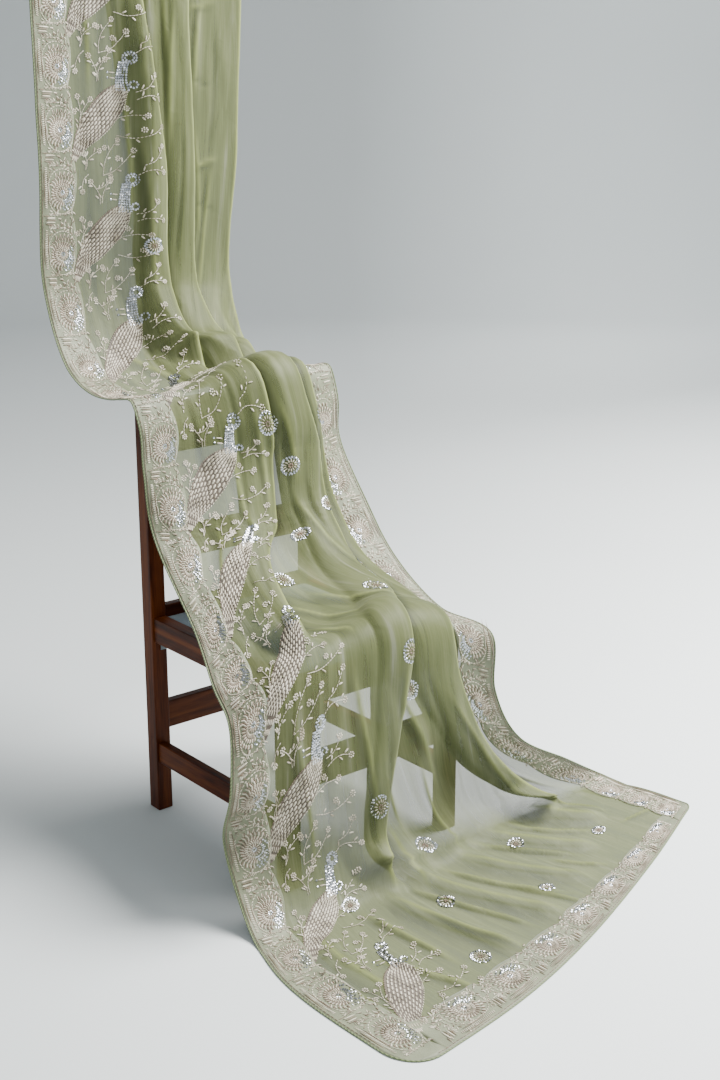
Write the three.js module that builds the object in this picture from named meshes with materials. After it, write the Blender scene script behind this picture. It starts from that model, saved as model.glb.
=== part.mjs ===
import * as THREE from 'three';

// An organza saree that hangs from a plain rod, swings forward over the back of a wooden chair,
// sags to the front of its seat, falls to the floor and spreads there.
// Lengths are millimetres and +Z is up. The shaping is done from the front left corner of the chair:
// X runs to the chair's right, Y to its rear. At the end the whole is centred over its own base.

// Driving sizes of the chair
const CHAIR_LEFT = -11;
const CHAIR_RIGHT = 455;
const CHAIR_DEPTH = 519;
const BACK_HEIGHT = 935;
const SEAT_HEIGHT = 455;
const LEG_SIZE = 37;
const RAIL_INSET = 5;
const RAIL_THICK = 22;
const SIDE_RAIL_THICK = 32;
const JOINT_GAP = 0.3;
const WOOD_CHAMFER = 1.6;

// Driving sizes of the cloth
const CLOTH_WIDTH = 1150;
const CLOTH_WALL = 2;
const TURN_LENGTH = 17;
const BORDER_WIDTH = 90;
const BORDER_WALL = 1;
const SEAM_GAP = 0.3;
const STRETCH_GAP = 0.9;
const PIPING_WIDTH = 4;
const PIPING_GAP = 0.7;
const PIPING_WALL = 2.6;
const HEM_CORNER_LEFT = 70;
const HEM_CORNER_RIGHT = 25;

// Driving sizes of the rod and of the end of the cloth that is turned over it
const ROD_RADIUS = 12.5;
const ROD_OVERHANG = 35;
const ROD_HEIGHT = 1840;
const TURN_RADIUS = 18;
const TAIL_LENGTH = 60;

// Where the cloth passes what carries it
const HANG_Y = 834;
const RIDGE_Z = BACK_HEIGHT + 7;
const RIDGE_RIGHT_Z = RIDGE_Z + 16;
const SEAT_Z = SEAT_HEIGHT + 12;

// The way the cloth takes, a row for each place on it. "along" is how far down the cloth the row lies,
// and the four points lie across it: its left edge, over the chair's two sides, and its right edge.
const PATH = [
  { at: 'rod', along: 0, left: [-32, HANG_Y, ROD_HEIGHT], overLeft: [100, HANG_Y, ROD_HEIGHT],
    overRight: [370, HANG_Y, ROD_HEIGHT], right: [512, HANG_Y, ROD_HEIGHT] },
  { at: 'hang middle', along: 440, left: [-32, HANG_Y, 1400], overLeft: [100, HANG_Y, 1400],
    overRight: [355, HANG_Y, 1400], right: [484, HANG_Y, 1400] },
  { at: 'hang low', along: 720, left: [-32, 838, 1120], overLeft: [95, 830, 1120],
    overRight: [335, 830, 1120], right: [458, 830, 1120] },
  { at: 'bend', along: 881, left: [-36, 750, 976], overLeft: [80, 750, 974],
    overRight: [330, 750, 972], right: [452, 750, 975] },
  { at: 'valley', along: 1012, left: [-40, 632, 934], overLeft: [60, 632, 928],
    overRight: [370, 632, 926], right: [470, 632, 930] },
  { at: 'approach', along: 1107, left: [-40, 556, 937], overLeft: [20, 556, 934],
    overRight: [420, 556, 944], right: [482, 556, 946] },
  { at: 'ridge rear', along: 1147, left: [-40, 524, RIDGE_Z], overLeft: [-5, 524, RIDGE_Z],
    overRight: [440, 524, RIDGE_RIGHT_Z], right: [488, 524, RIDGE_RIGHT_Z] },
  { at: 'ridge front', along: 1195, left: [-39, 478, RIDGE_Z], overLeft: [-5, 478, RIDGE_Z],
    overRight: [440, 478, RIDGE_RIGHT_Z], right: [488, 480, RIDGE_RIGHT_Z] },
  { at: 'shoulder', along: 1230, left: [-38, 459, 905], overLeft: [-5, 459, 905],
    overRight: [455, 459, 905], right: [490, 462, 910] },
  { at: 'back high', along: 1335, left: [-35, 450, 800], overLeft: [-5, 450, 800],
    overRight: [455, 450, 802], right: [493, 458, 806] },
  { at: 'back middle', along: 1480, left: [-30, 425, 660], overLeft: [-3, 410, 660],
    overRight: [455, 378, 662], right: [502, 370, 665] },
  { at: 'back low', along: 1650, left: [-60, 230, 505], overLeft: [-5, 250, 545],
    overRight: [455, 262, 548], right: [503, 260, 547] },
  { at: 'seat middle', along: 1790, left: [-105, 105, 440], overLeft: [-10, 112, 492],
    overRight: [455, 112, 482], right: [503, 110, 470] },
  { at: 'seat front', along: 1925, left: [-130, 15, 385], overLeft: [-10, -16, SEAT_Z],
    overRight: [455, -22, SEAT_Z], right: [503, -50, 453] },
  { at: 'fall high', along: 2040, left: [-158, -22, 275], overLeft: [-20, -45, 345],
    overRight: [455, -42, 350], right: [505, -60, 330] },
  { at: 'fall middle', along: 2180, left: [-162, 0, 168], overLeft: [-40, -50, 200],
    overRight: [465, -45, 215], right: [590, -65, 190] },
  { at: 'fall low', along: 2290, left: [-165, -45, 70], overLeft: [-35, -60, 80],
    overRight: [515, -45, 85], right: [740, -60, 100] },
  { at: 'foot', along: 2390, left: [-175, -110, 8], overLeft: [-25, -120, 8],
    overRight: [560, -85, 10], right: [870, -50, 20] },
  { at: 'floor', along: 2510, left: [-210, -240, 0], overLeft: [10, -235, 0],
    overRight: [600, -180, 0], right: [905, -110, 0] },
  { at: 'hem', along: 2830, left: [-213, -614, 0], overLeft: [90, -574, 0],
    overRight: [648, -393, 0], right: [937, -268, 0] },
];

// Three laid pleats run down the cloth. For each: how far its edge lies from the left edge of the cloth
// as it hangs, how wide it laps under, and how far it is shut, from 0, flat, to 1, folded double.
// "under" is the width of cloth turned under behind the right side, and "underShut" how far it is turned.
const PLEATS = [
  { along: 0, first: [240, 60, 1], second: [378, 60, 1], third: [460, 15, 0], under: 262, underShut: 1 },
  { along: 440, first: [295, 55, 1], second: [385, 60, 1], third: [460, 15, 0], under: 262, underShut: 1 },
  { along: 720, first: [305, 60, 1], second: [395, 65, 1], third: [450, 15, 0], under: 255, underShut: 1 },
  { along: 881, first: [302, 80, 1], second: [398, 80, 1], third: [440, 20, 0.4], under: 190, underShut: 1 },
  { along: 1012, first: [300, 90, 1], second: [400, 90, 1], third: [450, 60, 1], under: 140, underShut: 0.7 },
  { along: 1058, first: [299, 90, 1], second: [401, 92, 1], third: [444, 78, 1], under: 140, underShut: 0.3 },
  { along: 1107, first: [298, 90, 1], second: [402, 95, 1], third: [440, 90, 1], under: 140, underShut: 0 },
  { along: 1190, first: [298, 80, 1], second: [402, 100, 1], third: [440, 100, 1], under: 140, underShut: 0 },
  { along: 1335, first: [300, 85, 1], second: [425, 110, 1], third: [455, 100, 1], under: 140, underShut: 0 },
  { along: 1480, first: [292, 95, 1], second: [440, 120, 1], third: [480, 90, 1], under: 140, underShut: 0 },
  { along: 1650, first: [250, 80, 1], second: [460, 115, 1], third: [510, 90, 1], under: 140, underShut: 0 },
  { along: 1720, first: [234, 55, 1], second: [466, 105, 1], third: [530, 95, 1], under: 140, underShut: 0 },
  { along: 1790, first: [220, 26, 0.95], second: [470, 95, 1], third: [545, 100, 1], under: 140, underShut: 0 },
  { along: 1850, first: [210, 20, 0.45], second: [458, 82, 1], third: [552, 105, 1], under: 140, underShut: 0 },
  { along: 1900, first: [200, 18, 0], second: [445, 70, 1], third: [558, 108, 1], under: 140, underShut: 0 },
  { along: 2040, first: [200, 25, 0], second: [425, 60, 1], third: [590, 110, 1], under: 140, underShut: 0 },
  { along: 2180, first: [210, 40, 0], second: [380, 50, 1], third: [660, 95, 1], under: 140, underShut: 0 },
  { along: 2290, first: [220, 50, 0], second: [340, 22, 0.9], third: [760, 40, 1], under: 140, underShut: 0 },
  { along: 2390, first: [220, 50, 0], second: [330, 18, 0.3], third: [840, 18, 0.4], under: 140, underShut: 0 },
  { along: 2445, first: [220, 50, 0], second: [350, 30, 0], third: [850, 30, 0], under: 140, underShut: 0 },
  { along: 2510, first: [220, 50, 0], second: [380, 40, 0], third: [860, 40, 0], under: 140, underShut: 0 },
  { along: 2830, first: [220, 50, 0], second: [560, 50, 0], third: [820, 50, 0], under: 140, underShut: 0 },
];

// Soft ridges where the cloth has more length than its path: from one point of the cloth to another,
// each given as distance from the left edge and distance along.
const RIDGES = [
  { from: [140, 60], to: [160, 740], halfWidth: 55, height: 9 },
  { from: [235, 20], to: [275, 700], halfWidth: 36, height: 10 },
  { from: [445, 30], to: [450, 650], halfWidth: 40, height: 9 },
  { from: [690, 40], to: [720, 640], halfWidth: 45, height: 9 },
  { from: [180, 1240], to: [190, 1640], halfWidth: 80, height: 12 },
  { from: [470, 1220], to: [560, 1700], halfWidth: 60, height: 14 },
  { from: [60, 2020], to: [70, 2260], halfWidth: 60, height: 12 },
  { from: [640, 2060], to: [560, 2420], halfWidth: 70, height: 16 },
  { from: [480, 2250], to: [430, 2480], halfWidth: 55, height: 14 },
  { from: [330, 2380], to: [420, 2800], halfWidth: 48, height: 13 },
  { from: [430, 2370], to: [590, 2790], halfWidth: 52, height: 15 },
  { from: [560, 2360], to: [740, 2740], halfWidth: 50, height: 13 },
  { from: [680, 2340], to: [860, 2660], halfWidth: 55, height: 15 },
  { from: [830, 2330], to: [980, 2580], halfWidth: 60, height: 18 },
  { from: [120, 2400], to: [150, 2760], halfWidth: 60, height: 7 },
];

// The cloth is worked out on a fine net of points, and the pieces are drawn from that net.
const NET_ACROSS = 2.5;
const NET_ALONG = 10;
const REST_STEP = 5;
const REST_SPREAD = 6;
const TURN_SLICES = 32;
const LEAST_FLAT = 8;
const FOLDED_OVER = 0.6;
const FULLNESS_RANGE = [0.4, 1.8];
const FULLNESS_TRIES = 24;
const LOOK_ALONG = 4;
const LOOK_ACROSS = 0.004;
const CLOTH_TOP = -(Math.PI * TURN_RADIUS + TAIL_LENGTH);
const CLOTH_END = PATH[PATH.length - 1].along;

function clamp(value, low, high) {
  return Math.min(Math.max(value, low), high);
}

function ease(t) {
  const u = clamp(t, 0, 1);
  return u * u * (3 - 2 * u);
}

// A smooth curve through rows of numbers that stand at increasing stops
function smoothRows(stops, rows) {
  const last = stops.length - 1;
  const rise = (i, k) => (rows[i + 1][k] - rows[i][k]) / (stops[i + 1] - stops[i]);
  const slopes = rows.map((row, i) => row.map((_, k) => {
    if (i === 0) return rise(0, k);
    if (i === last) return rise(last - 1, k);
    const before = stops[i] - stops[i - 1];
    const after = stops[i + 1] - stops[i];
    return (rise(i - 1, k) * after + rise(i, k) * before) / (before + after);
  }));
  return (stop) => {
    let i = 0;
    while (i < last - 1 && stop > stops[i + 1]) i += 1;
    const gap = stops[i + 1] - stops[i];
    const t = (stop - stops[i]) / gap;
    const here = 2 * t ** 3 - 3 * t ** 2 + 1;
    const leave = t ** 3 - 2 * t ** 2 + t;
    const arrive = t ** 3 - t ** 2;
    return rows[i].map((value, k) => here * value + leave * gap * slopes[i][k]
      + (1 - here) * rows[i + 1][k] + arrive * gap * slopes[i + 1][k]);
  };
}

const pathAt = smoothRows(
  PATH.map((row) => row.along),
  PATH.map((row) => [...row.left, ...row.overLeft, ...row.overRight, ...row.right]),
);
const pleatsAt = smoothRows(
  PLEATS.map((row) => row.along),
  PLEATS.map((row) => [...row.first, ...row.second, ...row.third, row.under, row.underShut]),
);

// The line across the cloth at one place, as a curve over its own length
function crossLine(along) {
  const flat = pathAt(along);
  const points = [0, 3, 6, 9].map((i) => flat.slice(i, i + 3));
  const stops = [0];
  for (let i = 1; i < points.length; i += 1) {
    stops.push(stops[i - 1] + Math.hypot(...points[i].map((value, k) => value - points[i - 1][k])));
  }
  return { curve: smoothRows(stops, points), length: stops[stops.length - 1] };
}

// How far a turn shut by "shut" carries the cloth sideways
function turnAdvance(shut) {
  let sum = 0;
  for (let i = 0; i < TURN_SLICES; i += 1) sum += Math.cos(Math.PI * shut * ease((i + 0.5) / TURN_SLICES));
  return (sum / TURN_SLICES) * TURN_LENGTH;
}

// Where, over the cloth's width, each flat and each turn begins, with the laps made "fullness" times as wide
function breaksFor(row, length, fullness) {
  const breaks = [0];
  let width = 0;
  let reach = 0;
  const step = (cloth, side) => {
    width += cloth;
    reach += side;
    breaks.push(width);
  };
  for (let k = 0; k < 3; k += 1) {
    const [edge, lap, shutRaw] = row.slice(3 * k, 3 * k + 3);
    const shut = clamp(shutRaw, 0, 1);
    const lapWidth = Math.max(lap, LEAST_FLAT) * (shut > FOLDED_OVER ? fullness : 1);
    const flat = Math.max(edge - reach, LEAST_FLAT);
    step(flat, flat);
    step(TURN_LENGTH, turnAdvance(shut));
    step(lapWidth, lapWidth * Math.cos(Math.PI * shut));
    step(TURN_LENGTH, turnAdvance(shut));
  }
  const under = row[9];
  const underShut = clamp(row[10], 0, 1);
  const beyond = turnAdvance(underShut) + under * Math.cos(Math.PI * underShut);
  const flat = Math.max(length - reach - Math.max(beyond, 0), LEAST_FLAT);
  step(flat, flat);
  step(TURN_LENGTH, 0);
  step(under, 0);
  return breaks;
}

// The pleated section at one place: its breaks, and the side and depth of each point over the width
function sectionAt(along) {
  const row = pleatsAt(Math.max(along, 0));
  const line = crossLine(Math.max(along, 0));
  let [low, high] = FULLNESS_RANGE;
  for (let i = 0; i < FULLNESS_TRIES; i += 1) {
    const middle = (low + high) / 2;
    if (breaksFor(row, line.length, middle).at(-1) < CLOTH_WIDTH) low = middle;
    else high = middle;
  }
  const raw = breaksFor(row, line.length, low);
  const breaks = raw.map((value) => value * CLOTH_WIDTH / raw.at(-1));
  const shut = [2, 5, 8, 10].map((k) => clamp(row[k], 0, 1));
  const turned = (width) => {
    let angle = 0;
    for (let k = 0; k < 3; k += 1) {
      const i = 4 * k + 1;
      const away = ease((width - breaks[i]) / (breaks[i + 1] - breaks[i]));
      const back = ease((width - breaks[i + 2]) / (breaks[i + 3] - breaks[i + 2]));
      angle -= Math.PI * shut[k] * (away - back);
    }
    return angle - Math.PI * shut[3] * ease((width - breaks[13]) / (breaks[14] - breaks[13]));
  };
  const count = Math.round(CLOTH_WIDTH / NET_ACROSS);
  const side = [0];
  const depth = [0];
  for (let i = 1; i <= count; i += 1) {
    const angle = turned((i - 0.5) * NET_ACROSS);
    side.push(side[i - 1] + Math.cos(angle) * NET_ACROSS);
    depth.push(depth[i - 1] + Math.sin(angle) * NET_ACROSS);
  }
  const reach = Math.max(...side);
  const rest = restingDepth(side, depth, Math.floor(breaks[13] / NET_ACROSS), reach);
  return {
    breaks,
    share: side.map((value) => value / reach),
    depth: depth.map((value, i) => value - rest(side[i])),
    line,
  };
}

// The depth that the lowest layer has at each place across, made smooth. Taking it away lets every layer
// rest on the path. A part that is turned under counts only to the depth of one turn.
function restingDepth(side, depth, lastShown, reach) {
  const count = Math.ceil(reach / REST_STEP) + 1;
  const lowest = new Array(count).fill(Infinity);
  const least = depth[lastShown] - 2 * TURN_LENGTH / Math.PI;
  side.forEach((value, i) => {
    const k = clamp(Math.round(value / REST_STEP), 0, count - 1);
    const held = i <= lastShown ? depth[i] : Math.max(depth[i], least);
    lowest[k] = Math.min(lowest[k], held);
  });
  const around = (list, k) => list.slice(Math.max(k - REST_SPREAD, 0), k + REST_SPREAD + 1);
  const widened = lowest.map((_, k) => Math.min(...around(lowest, k)));
  const smooth = widened.map((_, k) => {
    const near = around(widened, k);
    return near.reduce((sum, value) => sum + value, 0) / near.length;
  });
  return (value) => {
    const place = clamp(value / REST_STEP, 0, count - 1.001);
    const k = Math.floor(place);
    return smooth[k] + (smooth[k + 1] - smooth[k]) * (place - k);
  };
}

function ridgeHeight(width, along) {
  let height = 0;
  for (const ridge of RIDGES) {
    const run = [ridge.to[0] - ridge.from[0], ridge.to[1] - ridge.from[1]];
    const length = Math.hypot(...run);
    const offset = [width - ridge.from[0], along - ridge.from[1]];
    const t = (offset[0] * run[0] + offset[1] * run[1]) / length ** 2;
    const away = Math.abs(offset[0] * run[1] - offset[1] * run[0]) / length;
    const ends = ease(4 * t) * ease(4 * (1 - t));
    height += ridge.height * ends * (1 - ease(away / ridge.halfWidth));
  }
  return height;
}

// One row of the net: points over the width of the cloth at one place along it
function netRow(along) {
  const section = sectionAt(along);
  const before = crossLine(clamp(along - LOOK_ALONG, 0, CLOTH_END));
  const after = crossLine(clamp(along + LOOK_ALONG, 0, CLOTH_END));
  const { line } = section;
  return section.share.map((share, i) => {
    const sideways = clamp(share, 0, 1);
    const base = new THREE.Vector3(...line.curve(sideways * line.length));
    const depth = section.depth[i] + ridgeHeight(i * NET_ACROSS, along);
    if (along < 0) {
      const turn = Math.min(-along / TURN_RADIUS, Math.PI);
      const drop = Math.max(-along - Math.PI * TURN_RADIUS, 0);
      const radius = TURN_RADIUS + depth;
      return new THREE.Vector3(
        base.x,
        HANG_Y + TURN_RADIUS - radius * Math.cos(turn),
        ROD_HEIGHT + radius * Math.sin(turn) - drop,
      );
    }
    const down = new THREE.Vector3(...after.curve(sideways * after.length))
      .sub(new THREE.Vector3(...before.curve(sideways * before.length)));
    const across = new THREE.Vector3(...line.curve(Math.min(sideways + LOOK_ACROSS, 1) * line.length))
      .sub(new THREE.Vector3(...line.curve(Math.max(sideways - LOOK_ACROSS, 0) * line.length)));
    const out = down.cross(across).normalize();
    const point = base.addScaledVector(out, depth);
    point.z = Math.max(point.z, 0);
    return point;
  });
}

const net = [];
const netStops = [];
const netCount = Math.ceil((CLOTH_END - CLOTH_TOP) / NET_ALONG);
for (let i = 0; i <= netCount; i += 1) {
  const along = CLOTH_TOP + (CLOTH_END - CLOTH_TOP) * i / netCount;
  netStops.push(along);
  net.push(netRow(along));
}

// A point of the cloth's back face, from its place over the width and along the cloth
function clothPoint(width, along) {
  const column = clamp(width / NET_ACROSS, 0, net[0].length - 1.001);
  const line = clamp((along - CLOTH_TOP) / (CLOTH_END - CLOTH_TOP) * netCount, 0, netCount - 0.001);
  const i = Math.floor(line);
  const k = Math.floor(column);
  const near = net[i][k].clone().lerp(net[i][k + 1], column - k);
  const far = net[i + 1][k].clone().lerp(net[i + 1][k + 1], column - k);
  return near.lerp(far, line - i);
}

// The cloth's direction across and its outward direction at one of its points
function clothFrame(width, along) {
  const across = clothPoint(width + 2, along).sub(clothPoint(width - 2, along)).normalize();
  const down = clothPoint(width, along + 6).sub(clothPoint(width, along - 6)).normalize();
  return { across, down, out: down.clone().cross(across).normalize() };
}

// The hem's corners are round: places near a corner are drawn in to a quarter circle.
function roundCorner(width, along) {
  const left = width < CLOTH_WIDTH / 2;
  const radius = left ? HEM_CORNER_LEFT : HEM_CORNER_RIGHT;
  const edge = left ? width : CLOTH_WIDTH - width;
  const a = (radius - edge) / radius;
  const b = (along - (CLOTH_END - radius)) / radius;
  if (a <= 0 || b <= 0) return [width, along];
  const roundEdge = radius - radius * a * Math.sqrt(1 - b * b / 2);
  const roundAlong = CLOTH_END - radius + radius * b * Math.sqrt(1 - a * a / 2);
  return [left ? roundEdge : CLOTH_WIDTH - roundEdge, roundAlong];
}

// A closed skin from two equal grids of points, back and front, wound so that its faces point out
function closedSkin(back, front) {
  const rows = back.length;
  const columns = back[0].length;
  const points = [...back.flat(), ...front.flat()];
  const faces = [];
  const at = (side, i, k) => side * rows * columns + i * columns + k;
  const quad = (a, b, c, d) => faces.push(a, b, c, a, c, d);
  for (let i = 0; i < rows - 1; i += 1) {
    for (let k = 0; k < columns - 1; k += 1) {
      quad(at(1, i, k), at(1, i + 1, k), at(1, i + 1, k + 1), at(1, i, k + 1));
      quad(at(0, i, k), at(0, i, k + 1), at(0, i + 1, k + 1), at(0, i + 1, k));
    }
    quad(at(0, i, 0), at(0, i + 1, 0), at(1, i + 1, 0), at(1, i, 0));
    quad(at(0, i, columns - 1), at(1, i, columns - 1), at(1, i + 1, columns - 1), at(0, i + 1, columns - 1));
  }
  for (let k = 0; k < columns - 1; k += 1) {
    quad(at(0, 0, k), at(1, 0, k), at(1, 0, k + 1), at(0, 0, k + 1));
    quad(at(0, rows - 1, k), at(0, rows - 1, k + 1), at(1, rows - 1, k + 1), at(1, rows - 1, k));
  }
  const geometry = new THREE.BufferGeometry();
  geometry.setAttribute('position', new THREE.Float32BufferAttribute(points.flatMap((p) => p.toArray()), 3));
  geometry.setIndex(faces);
  geometry.computeVertexNormals();
  return geometry;
}

// A wall on the cloth: it starts "lift" above the back face and is "wall" thick.
function wallOn(places, lift, wall) {
  const layer = (height) => places.map((row) => row.map(([width, along]) => {
    const { out } = clothFrame(width, along);
    return clothPoint(width, along).addScaledVector(out, height);
  }));
  return closedSkin(layer(lift), layer(lift + wall));
}

function spread(from, to, count) {
  return Array.from({ length: count + 1 }, (_, i) => from + (to - from) * i / count);
}

// The stretches of the cloth, from the turned-over end to the hem. "spans" gives how far each run of rows
// reaches and how many rows it has, closer where the cloth bends. "pleated" says which of the pleats are
// folded there, and "turnedUnder" whether the right side is.
const STRETCHES = [
  { name: 'saree_turnover', spans: [[-Math.PI * TURN_RADIUS, 1], [0, 6]], pleated: [1, 1, 0], turnedUnder: 1 },
  { name: 'saree_hang', spans: [[760, 6]], pleated: [1, 1, 0], turnedUnder: 1 },
  { name: 'saree_swag', spans: [[1100, 7], [1160, 3]], pleated: [1, 1, 1], turnedUnder: 1 },
  { name: 'saree_back', spans: [[1235, 5], [1800, 8], [1930, 5]], pleated: [1, 1, 1], turnedUnder: 0 },
  { name: 'saree_fall', spans: [[2000, 3], [2300, 5], [2450, 4]], pleated: [0, 1, 1], turnedUnder: 0 },
  { name: 'saree_spread', spans: [[2530, 2], [CLOTH_END - BORDER_WIDTH, 4], [CLOTH_END, 2]],
    pleated: [0, 0, 0], turnedUnder: 0 },
];
STRETCHES.forEach((stretch, i) => {
  stretch.from = i === 0 ? CLOTH_TOP : STRETCHES[i - 1].spans.at(-1)[0];
});

// The rows of a stretch, which stops just short of the next one
function stretchRows(stretch) {
  const to = stretch.spans.at(-1)[0];
  const rows = [stretch.from];
  for (const [reach, count] of stretch.spans) rows.push(...spread(rows.at(-1), reach, count).slice(1));
  if (stretch.from > CLOTH_TOP) rows[0] += STRETCH_GAP / 2;
  if (to < CLOTH_END) rows[rows.length - 1] -= STRETCH_GAP / 2;
  return rows;
}

// The columns of a row, closer round the turns of the pleats that are folded in that stretch
const BORDER_STEPS = 2;
const PEACOCK_STEPS = 4;
const FLAT_STEPS = [4, 4, 3];
const TURN_STEPS = 3;
function columnsAt(along, stretch) {
  const { breaks } = sectionAt(along);
  const stops = [0, BORDER_WIDTH, ...breaks.slice(1, 15), CLOTH_WIDTH - BORDER_WIDTH, CLOTH_WIDTH];
  const steps = [BORDER_STEPS, PEACOCK_STEPS];
  stretch.pleated.forEach((folded, k) => {
    const turn = folded ? TURN_STEPS : 1;
    steps.push(turn, 1, turn, FLAT_STEPS[k]);
  });
  steps.push(stretch.turnedUnder ? TURN_STEPS : 1, 2, BORDER_STEPS);
  const columns = [0];
  steps.forEach((count, i) => columns.push(...spread(stops[i], stops[i + 1], count).slice(1)));
  return columns;
}

const saree = new THREE.Group();

function add(name, geometry, material) {
  const mesh = new THREE.Mesh(geometry, material);
  mesh.name = name;
  saree.add(mesh);
}

const organza = new THREE.MeshStandardMaterial({ color: 0x8f9c6c, roughness: 0.45, metalness: 0 });
const backing = new THREE.MeshStandardMaterial({ color: 0xb4b999, roughness: 0.6, metalness: 0 });
const braid = new THREE.MeshStandardMaterial({ color: 0x596a3a, roughness: 0.7, metalness: 0 });
const wood = new THREE.MeshStandardMaterial({ color: 0x4d1c0a, roughness: 0.4, metalness: 0 });
const padCloth = new THREE.MeshStandardMaterial({ color: 0x6f818c, roughness: 0.8, metalness: 0 });
const steel = new THREE.MeshStandardMaterial({ color: 0x71808a, roughness: 0.4, metalness: 0.8 });

// The organza itself, one piece of cloth shown in six stretches
for (const stretch of STRETCHES) {
  const places = stretchRows(stretch)
    .map((along) => columnsAt(along, stretch).map((width) => roundCorner(width, along)));
  add(stretch.name, wallOn(places, 0, CLOTH_WALL), organza);
}

// The border strips are backed with a second cloth: one down each side and one across the end.
const allRows = STRETCHES.flatMap(stretchRows);
const spreadStretch = STRETCHES.at(-1);
const borderLift = CLOTH_WALL + SEAM_GAP;
const sideColumns = (mirror) => (mirror
  ? spread(CLOTH_WIDTH - BORDER_WIDTH, CLOTH_WIDTH, BORDER_STEPS)
  : spread(0, BORDER_WIDTH, BORDER_STEPS));
for (const [name, mirror] of [['border_left', false], ['border_right', true]]) {
  const places = allRows.map((along) => sideColumns(mirror).map((width) => roundCorner(width, along)));
  add(name, wallOn(places, borderLift, BORDER_WALL), backing);
}
const endRows = spread(CLOTH_END - BORDER_WIDTH, CLOTH_END, 2);
const endPlaces = endRows.map((along) => {
  const columns = columnsAt(along, spreadStretch).filter((width) => width > BORDER_WIDTH + 1
    && width < CLOTH_WIDTH - BORDER_WIDTH - 1);
  const inner = [BORDER_WIDTH + SEAM_GAP, ...columns, CLOTH_WIDTH - BORDER_WIDTH - SEAM_GAP];
  return inner.map((width) => [width, along]);
});
add('border_end', wallOn(endPlaces, borderLift, BORDER_WALL), backing);

// The piping is a narrow braid sewn along both edges and the hem, just outside the cloth.
function pipingAlong(places, sideOf) {
  const grid = (height) => places.map(([width, along]) => {
    const frame = clothFrame(width, along);
    const away = sideOf(frame);
    return [PIPING_GAP, PIPING_GAP + PIPING_WIDTH].map((reach) => clothPoint(width, along)
      .addScaledVector(away, reach).addScaledVector(frame.out, height));
  });
  return { back: grid(0), front: grid(PIPING_WALL) };
}
const leftPiping = pipingAlong(
  allRows.filter((along) => along < CLOTH_END - HEM_CORNER_LEFT).map((along) => [0, along]),
  (frame) => frame.across.clone().negate(),
);
add('piping_left', closedSkin(
  leftPiping.back.map((row) => row.slice().reverse()),
  leftPiping.front.map((row) => row.slice().reverse()),
), braid);
const rightPiping = pipingAlong(
  allRows.filter((along) => along < CLOTH_END - HEM_CORNER_RIGHT).map((along) => [CLOTH_WIDTH, along]),
  (frame) => frame.across,
);
add('piping_right', closedSkin(rightPiping.back, rightPiping.front), braid);
const hemColumns = columnsAt(CLOTH_END, spreadStretch)
  .filter((width) => width > HEM_CORNER_LEFT && width < CLOTH_WIDTH - HEM_CORNER_RIGHT);
const hemPiping = pipingAlong(hemColumns.map((width) => [width, CLOTH_END]), (frame) => frame.down);
const swapped = (grid) => grid[0].map((_, k) => grid.map((row) => row[k]));
add('piping_end', closedSkin(swapped(hemPiping.back), swapped(hemPiping.front)), braid);

// The rod that the upper end is turned over
const ROD_SIDES = 24;
const [rodRow] = PATH;
const rodLength = rodRow.right[0] - rodRow.left[0] + 2 * ROD_OVERHANG;
const rodMiddle = (rodRow.right[0] + rodRow.left[0]) / 2;
const rodGeometry = new THREE.CylinderGeometry(ROD_RADIUS, ROD_RADIUS, rodLength, ROD_SIDES);
rodGeometry.rotateZ(Math.PI / 2);
rodGeometry.translate(rodMiddle, HANG_Y + TURN_RADIUS, ROD_HEIGHT);
add('rod', rodGeometry, wood);

// A piece of planed wood with its edges taken off, between two corners
function board(name, low, high, material = wood, chamfer = WOOD_CHAMFER) {
  const [width, depth, height] = high.map((value, k) => value - low[k]);
  const shape = new THREE.Shape();
  shape.moveTo(chamfer, chamfer);
  shape.lineTo(width - chamfer, chamfer);
  shape.lineTo(width - chamfer, depth - chamfer);
  shape.lineTo(chamfer, depth - chamfer);
  shape.closePath();
  const geometry = new THREE.ExtrudeGeometry(shape, {
    depth: height - 2 * chamfer,
    bevelEnabled: true,
    bevelThickness: chamfer,
    bevelSize: chamfer,
    bevelSegments: 1,
  });
  geometry.translate(low[0], low[1], low[2] + chamfer);
  add(name, geometry, material);
}

// The chair: four posts, rails between them, a pad on the seat and two plates under the side rails
const insideLeft = CHAIR_LEFT + LEG_SIZE + JOINT_GAP;
const insideRight = CHAIR_RIGHT - LEG_SIZE - JOINT_GAP;
const insideFront = LEG_SIZE + JOINT_GAP;
const insideRear = CHAIR_DEPTH - LEG_SIZE - JOINT_GAP;
for (const [side, x] of [['left', CHAIR_LEFT], ['right', CHAIR_RIGHT - LEG_SIZE]]) {
  board(`leg_front_${side}`, [x, 0, 0], [x + LEG_SIZE, LEG_SIZE, SEAT_HEIGHT]);
  board(`post_rear_${side}`, [x, CHAIR_DEPTH - LEG_SIZE, 0], [x + LEG_SIZE, CHAIR_DEPTH, BACK_HEIGHT]);
}

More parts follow.
